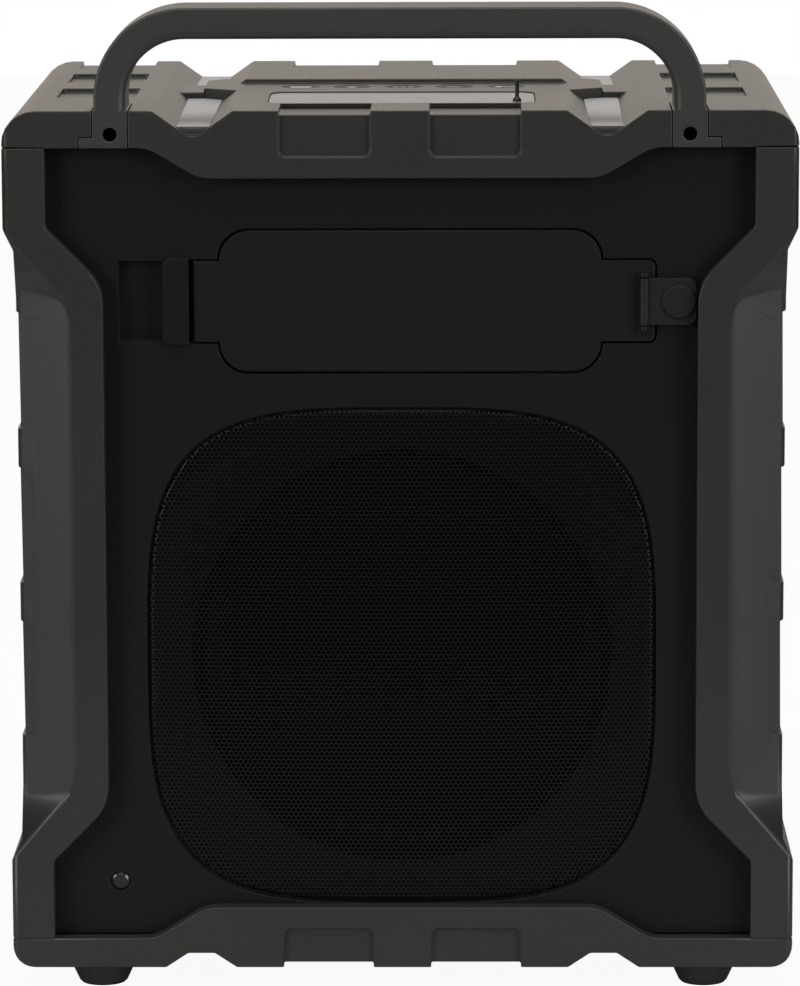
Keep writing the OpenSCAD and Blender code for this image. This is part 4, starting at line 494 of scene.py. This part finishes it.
def punched_sheet(name, squareness, crown_r, parts, material, front=False):
    """Stands for a CAD grille: a perforated sheet in upright parts, so that each is light, and its rim.

    The outline is a superellipse that fills the grille's box. A crown radius of 0 leaves the sheet flat.
    The sheet is formed looking to -Y, and a front one is then turned round.
    """
    low, high = ([v / MM for v in corner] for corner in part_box(name))
    half_w = (high[0] - low[0]) / 2
    half_h = (high[2] - low[2]) / 2
    mid_z = (high[2] + low[2]) / 2
    face_y = -high[1] if front else low[1]
    back_y = (-low[1] if front else high[1]) - REBATE_GAP
    field, hole_verts = hole_field(2 * half_w, 2 * half_h)

    def reached(x, z):
        """How far out a point lies, where 1 is the outline."""
        level = ((np.abs(x) / half_w) ** squareness + (np.abs(z) / half_h) ** squareness) ** (1 / squareness)
        return np.maximum(level, 1e-6)

    def inside(x, z):
        """A point's distance in from the outline, by the outline's gradient."""
        level = reached(x, z)
        slope_x = (np.abs(x) / half_w / level) ** (squareness - 1) / half_w
        slope_z = (np.abs(z) / half_h / level) ** (squareness - 1) / half_h
        return (1 - level) / np.maximum(np.hypot(slope_x, slope_z), 1e-9)

    def crown(x, z):
        return (x ** 2 + z ** 2) / 2 / crown_r if crown_r else 0

    def hole_middles(spots):
        """The middle of each hole, from the outer corners of its web."""
        return spots.reshape(-1, hole_verts, 3)[:, :HOLE_SIDES].mean(axis=1)

    def delete_holes(mesh, gone):
        mesh.verts.ensure_lookup_table()
        bmesh.ops.delete(mesh, context="VERTS", geom=[
            mesh.verts[hole * hole_verts + k] for hole in np.flatnonzero(gone) for k in range(hole_verts)])

    # Holes at the edge are squeezed in along the outline, and the sheet then gets its crown and rolled edge
    spots = np.array([v.co for v in field.verts])
    middles = hole_middles(spots)
    outer_corner = np.arange(len(spots)) % hole_verts < HOLE_SIDES
    edge = np.where(outer_corner, EDGE_GAP, EDGE_GAP + EDGE_WEB)
    over = np.maximum(reached(spots[:, 0], spots[:, 2]) / (1 - edge / half_w), 1)
    spots[:, 0] /= over
    spots[:, 2] /= over
    near = RIM_ROLL - np.clip(inside(spots[:, 0], spots[:, 2]), 0, RIM_ROLL)
    rolled = RIM_ROLL - np.sqrt(np.maximum(RIM_ROLL ** 2 - near ** 2, 0))
    depth = np.minimum(spots[:, 1] + face_y + crown(spots[:, 0], spots[:, 2]) + rolled, back_y)
    for vert, spot, y in zip(field.verts, spots, depth):
        vert.co = (spot[0], y, spot[2] + mid_z)
    delete_holes(field, inside(middles[:, 0], middles[:, 2]) <= EDGE_HOLE * HOLE_PITCH)

    # The rim is a plain strip round the outline, from the last holes back to the rebate
    rim = bmesh.new()
    bmesh.ops.create_circle(rim, segments=RIM_SIDES, radius=1, matrix=Matrix.Rotation(math.pi / 2, 4, "X"))
    for vert in rim.verts:
        angle = math.atan2(vert.co.z, vert.co.x)
        c = math.cos(angle)
        s = math.sin(angle)
        x = (half_w - EDGE_GAP) * math.copysign(abs(c) ** (2 / squareness), c)
        z = (half_h - EDGE_GAP) * math.copysign(abs(s) ** (2 / squareness), s)
        vert.co = (x, min(face_y + crown(x, z) + STRIP_START * RIM_ROLL, back_y - STRIP_LEAST), z + mid_z)
    for vert in new_verts(bmesh.ops.extrude_edge_only(rim, edges=rim.edges[:])):
        vert.co.y = back_y
    rim.normal_update()
    for face in rim.faces:
        if face.normal.dot(face.calc_center_median() - Vector((0, RIM_BEHIND, mid_z))) < 0:
            face.normal_flip()

    pieces = []
    beyond = half_w + 1
    cuts = np.linspace(-beyond, beyond, parts + 1)
    for k in range(parts):
        part = field.copy()
        across = hole_middles(np.array([v.co for v in part.verts]))[:, 0]
        delete_holes(part, (across < cuts[k]) | (across >= cuts[k + 1]))
        bmesh.ops.remove_doubles(part, verts=part.verts, dist=WEB_MERGE)
        pieces.append((f"{name}_sheet_{k + 1}", part))
    field.free()
    pieces.append((name + "_rim", rim))
    turn = Matrix.Rotation(math.pi, 4, "Z") if front else Matrix.Identity(4)
    for label, mesh in pieces:
        bmesh.ops.transform(mesh, matrix=turn @ Matrix.Scale(MM, 4), verts=mesh.verts)
        piece = show(label, mesh, material)
        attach(piece, "root")
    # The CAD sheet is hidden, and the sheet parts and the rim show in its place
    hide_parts(name)


# Powder coat on steel is a matt black, with light only along the edges of the holes and over the rolled rim
grille_coat = worked_metal("steel_powder_coated_black", "#070707", 0.42, 0.4, metallic=0.0,
                           Specular_IOR_Level=0.32)
punched_sheet("rear_grille", squareness=3.65, crown_r=1540, parts=2, material=grille_coat)
punched_sheet("front_grille", squareness=7, crown_r=0, parts=3, material=grille_coat, front=True)


# Drivers: a passive radiator at the rear, a woofer and two tweeters at the front, behind the grilles.
# Painted steel frames, rubber surrounds, pressed fibre cones, coated silk domes and a ferrite magnet.
# What lies behind the holes is near black and dull, but for the pale grey of the domes
frame_paint = moulded("steel_pressing_stove_painted", "#080808", 0.8, 1.0, 0.01, Specular_IOR_Level=0.15)
surround_nbr = moulded("nitrile_rubber_moulded", "#080808", 0.85, 0.6, 0.01, Specular_IOR_Level=0.15)
cone_pulp = moulded("paper_pulp_pressed_black", "#090909", 0.9, 1.6, 0.12, drift=0.16,
                    Specular_IOR_Level=0.1)
dome_silk = moulded("silk_coated_grey", "#8d8c8a", 0.6, 0.4, 0.03)
magnet_ferrite = worked_metal("ferrite_ground", "#4a4a4b", 0.55, 0.8, (1, 0.2, 1), metallic=0.3)
for name, material in (
        ("radiator_frame", frame_paint), ("woofer_basket", frame_paint), ("tweeter_bodies", frame_paint),
        ("radiator_surround", surround_nbr), ("woofer_surround", surround_nbr),
        ("radiator_cone", cone_pulp), ("woofer_cone", cone_pulp), ("woofer_dust_cap", cone_pulp),
        ("tweeter_domes", dome_silk), ("woofer_magnet", magnet_ferrite)):
    dress(name, material)


# Indicator: a small plug of smoked polycarbonate, smooth from the mould, pushed into the rear panel.
# Its lamp is off, so it is dark, with one small clear light.
indicator_clear = moulded("polycarbonate_clear_smoked", "#161514", 0.25, 0.8, 0.003, drift=0.03,
                          Coat_Weight=0.3)
dress("indicator_lens", indicator_clear)


# Inside: a battery in blue shrink wrap under rolled steel straps, and an amplifier board with an extruded
# aluminium heat sink. The wrap is shiny and uneven, and the metals have marks along their working.
battery_wrap = moulded("pvc_shrink_wrap_blue", "#2a456c", 0.28, 6.0, 0.05, drift=0.1)
strap_steel = worked_metal("steel_rolled_bright", "#b9b8b4", 0.28, 0.3, (1, 1, 0.1))
sink_alloy = worked_metal("aluminium_extruded", "#b6b8ba", 0.35, 0.5, (1, 0.05, 1))
dress("battery_pack", battery_wrap)
dress("battery_strap", strap_steel)
dress("amplifier_board", board_lacquer)
dress("heat_sink", sink_alloy)


# Feet: four round feet of moulded rubber with a tapered side, each screwed up into the base cap.
# The rubber is dull and a little dusty grey.
foot_rubber = moulded("rubber_moulded_black", "#2a2a29", 0.65, 0.9, 0.03)
for name in ("foot_rear_left", "foot_rear_right", "foot_front_left", "foot_front_right"):
    eased(name, 0.4, foot_rubber)
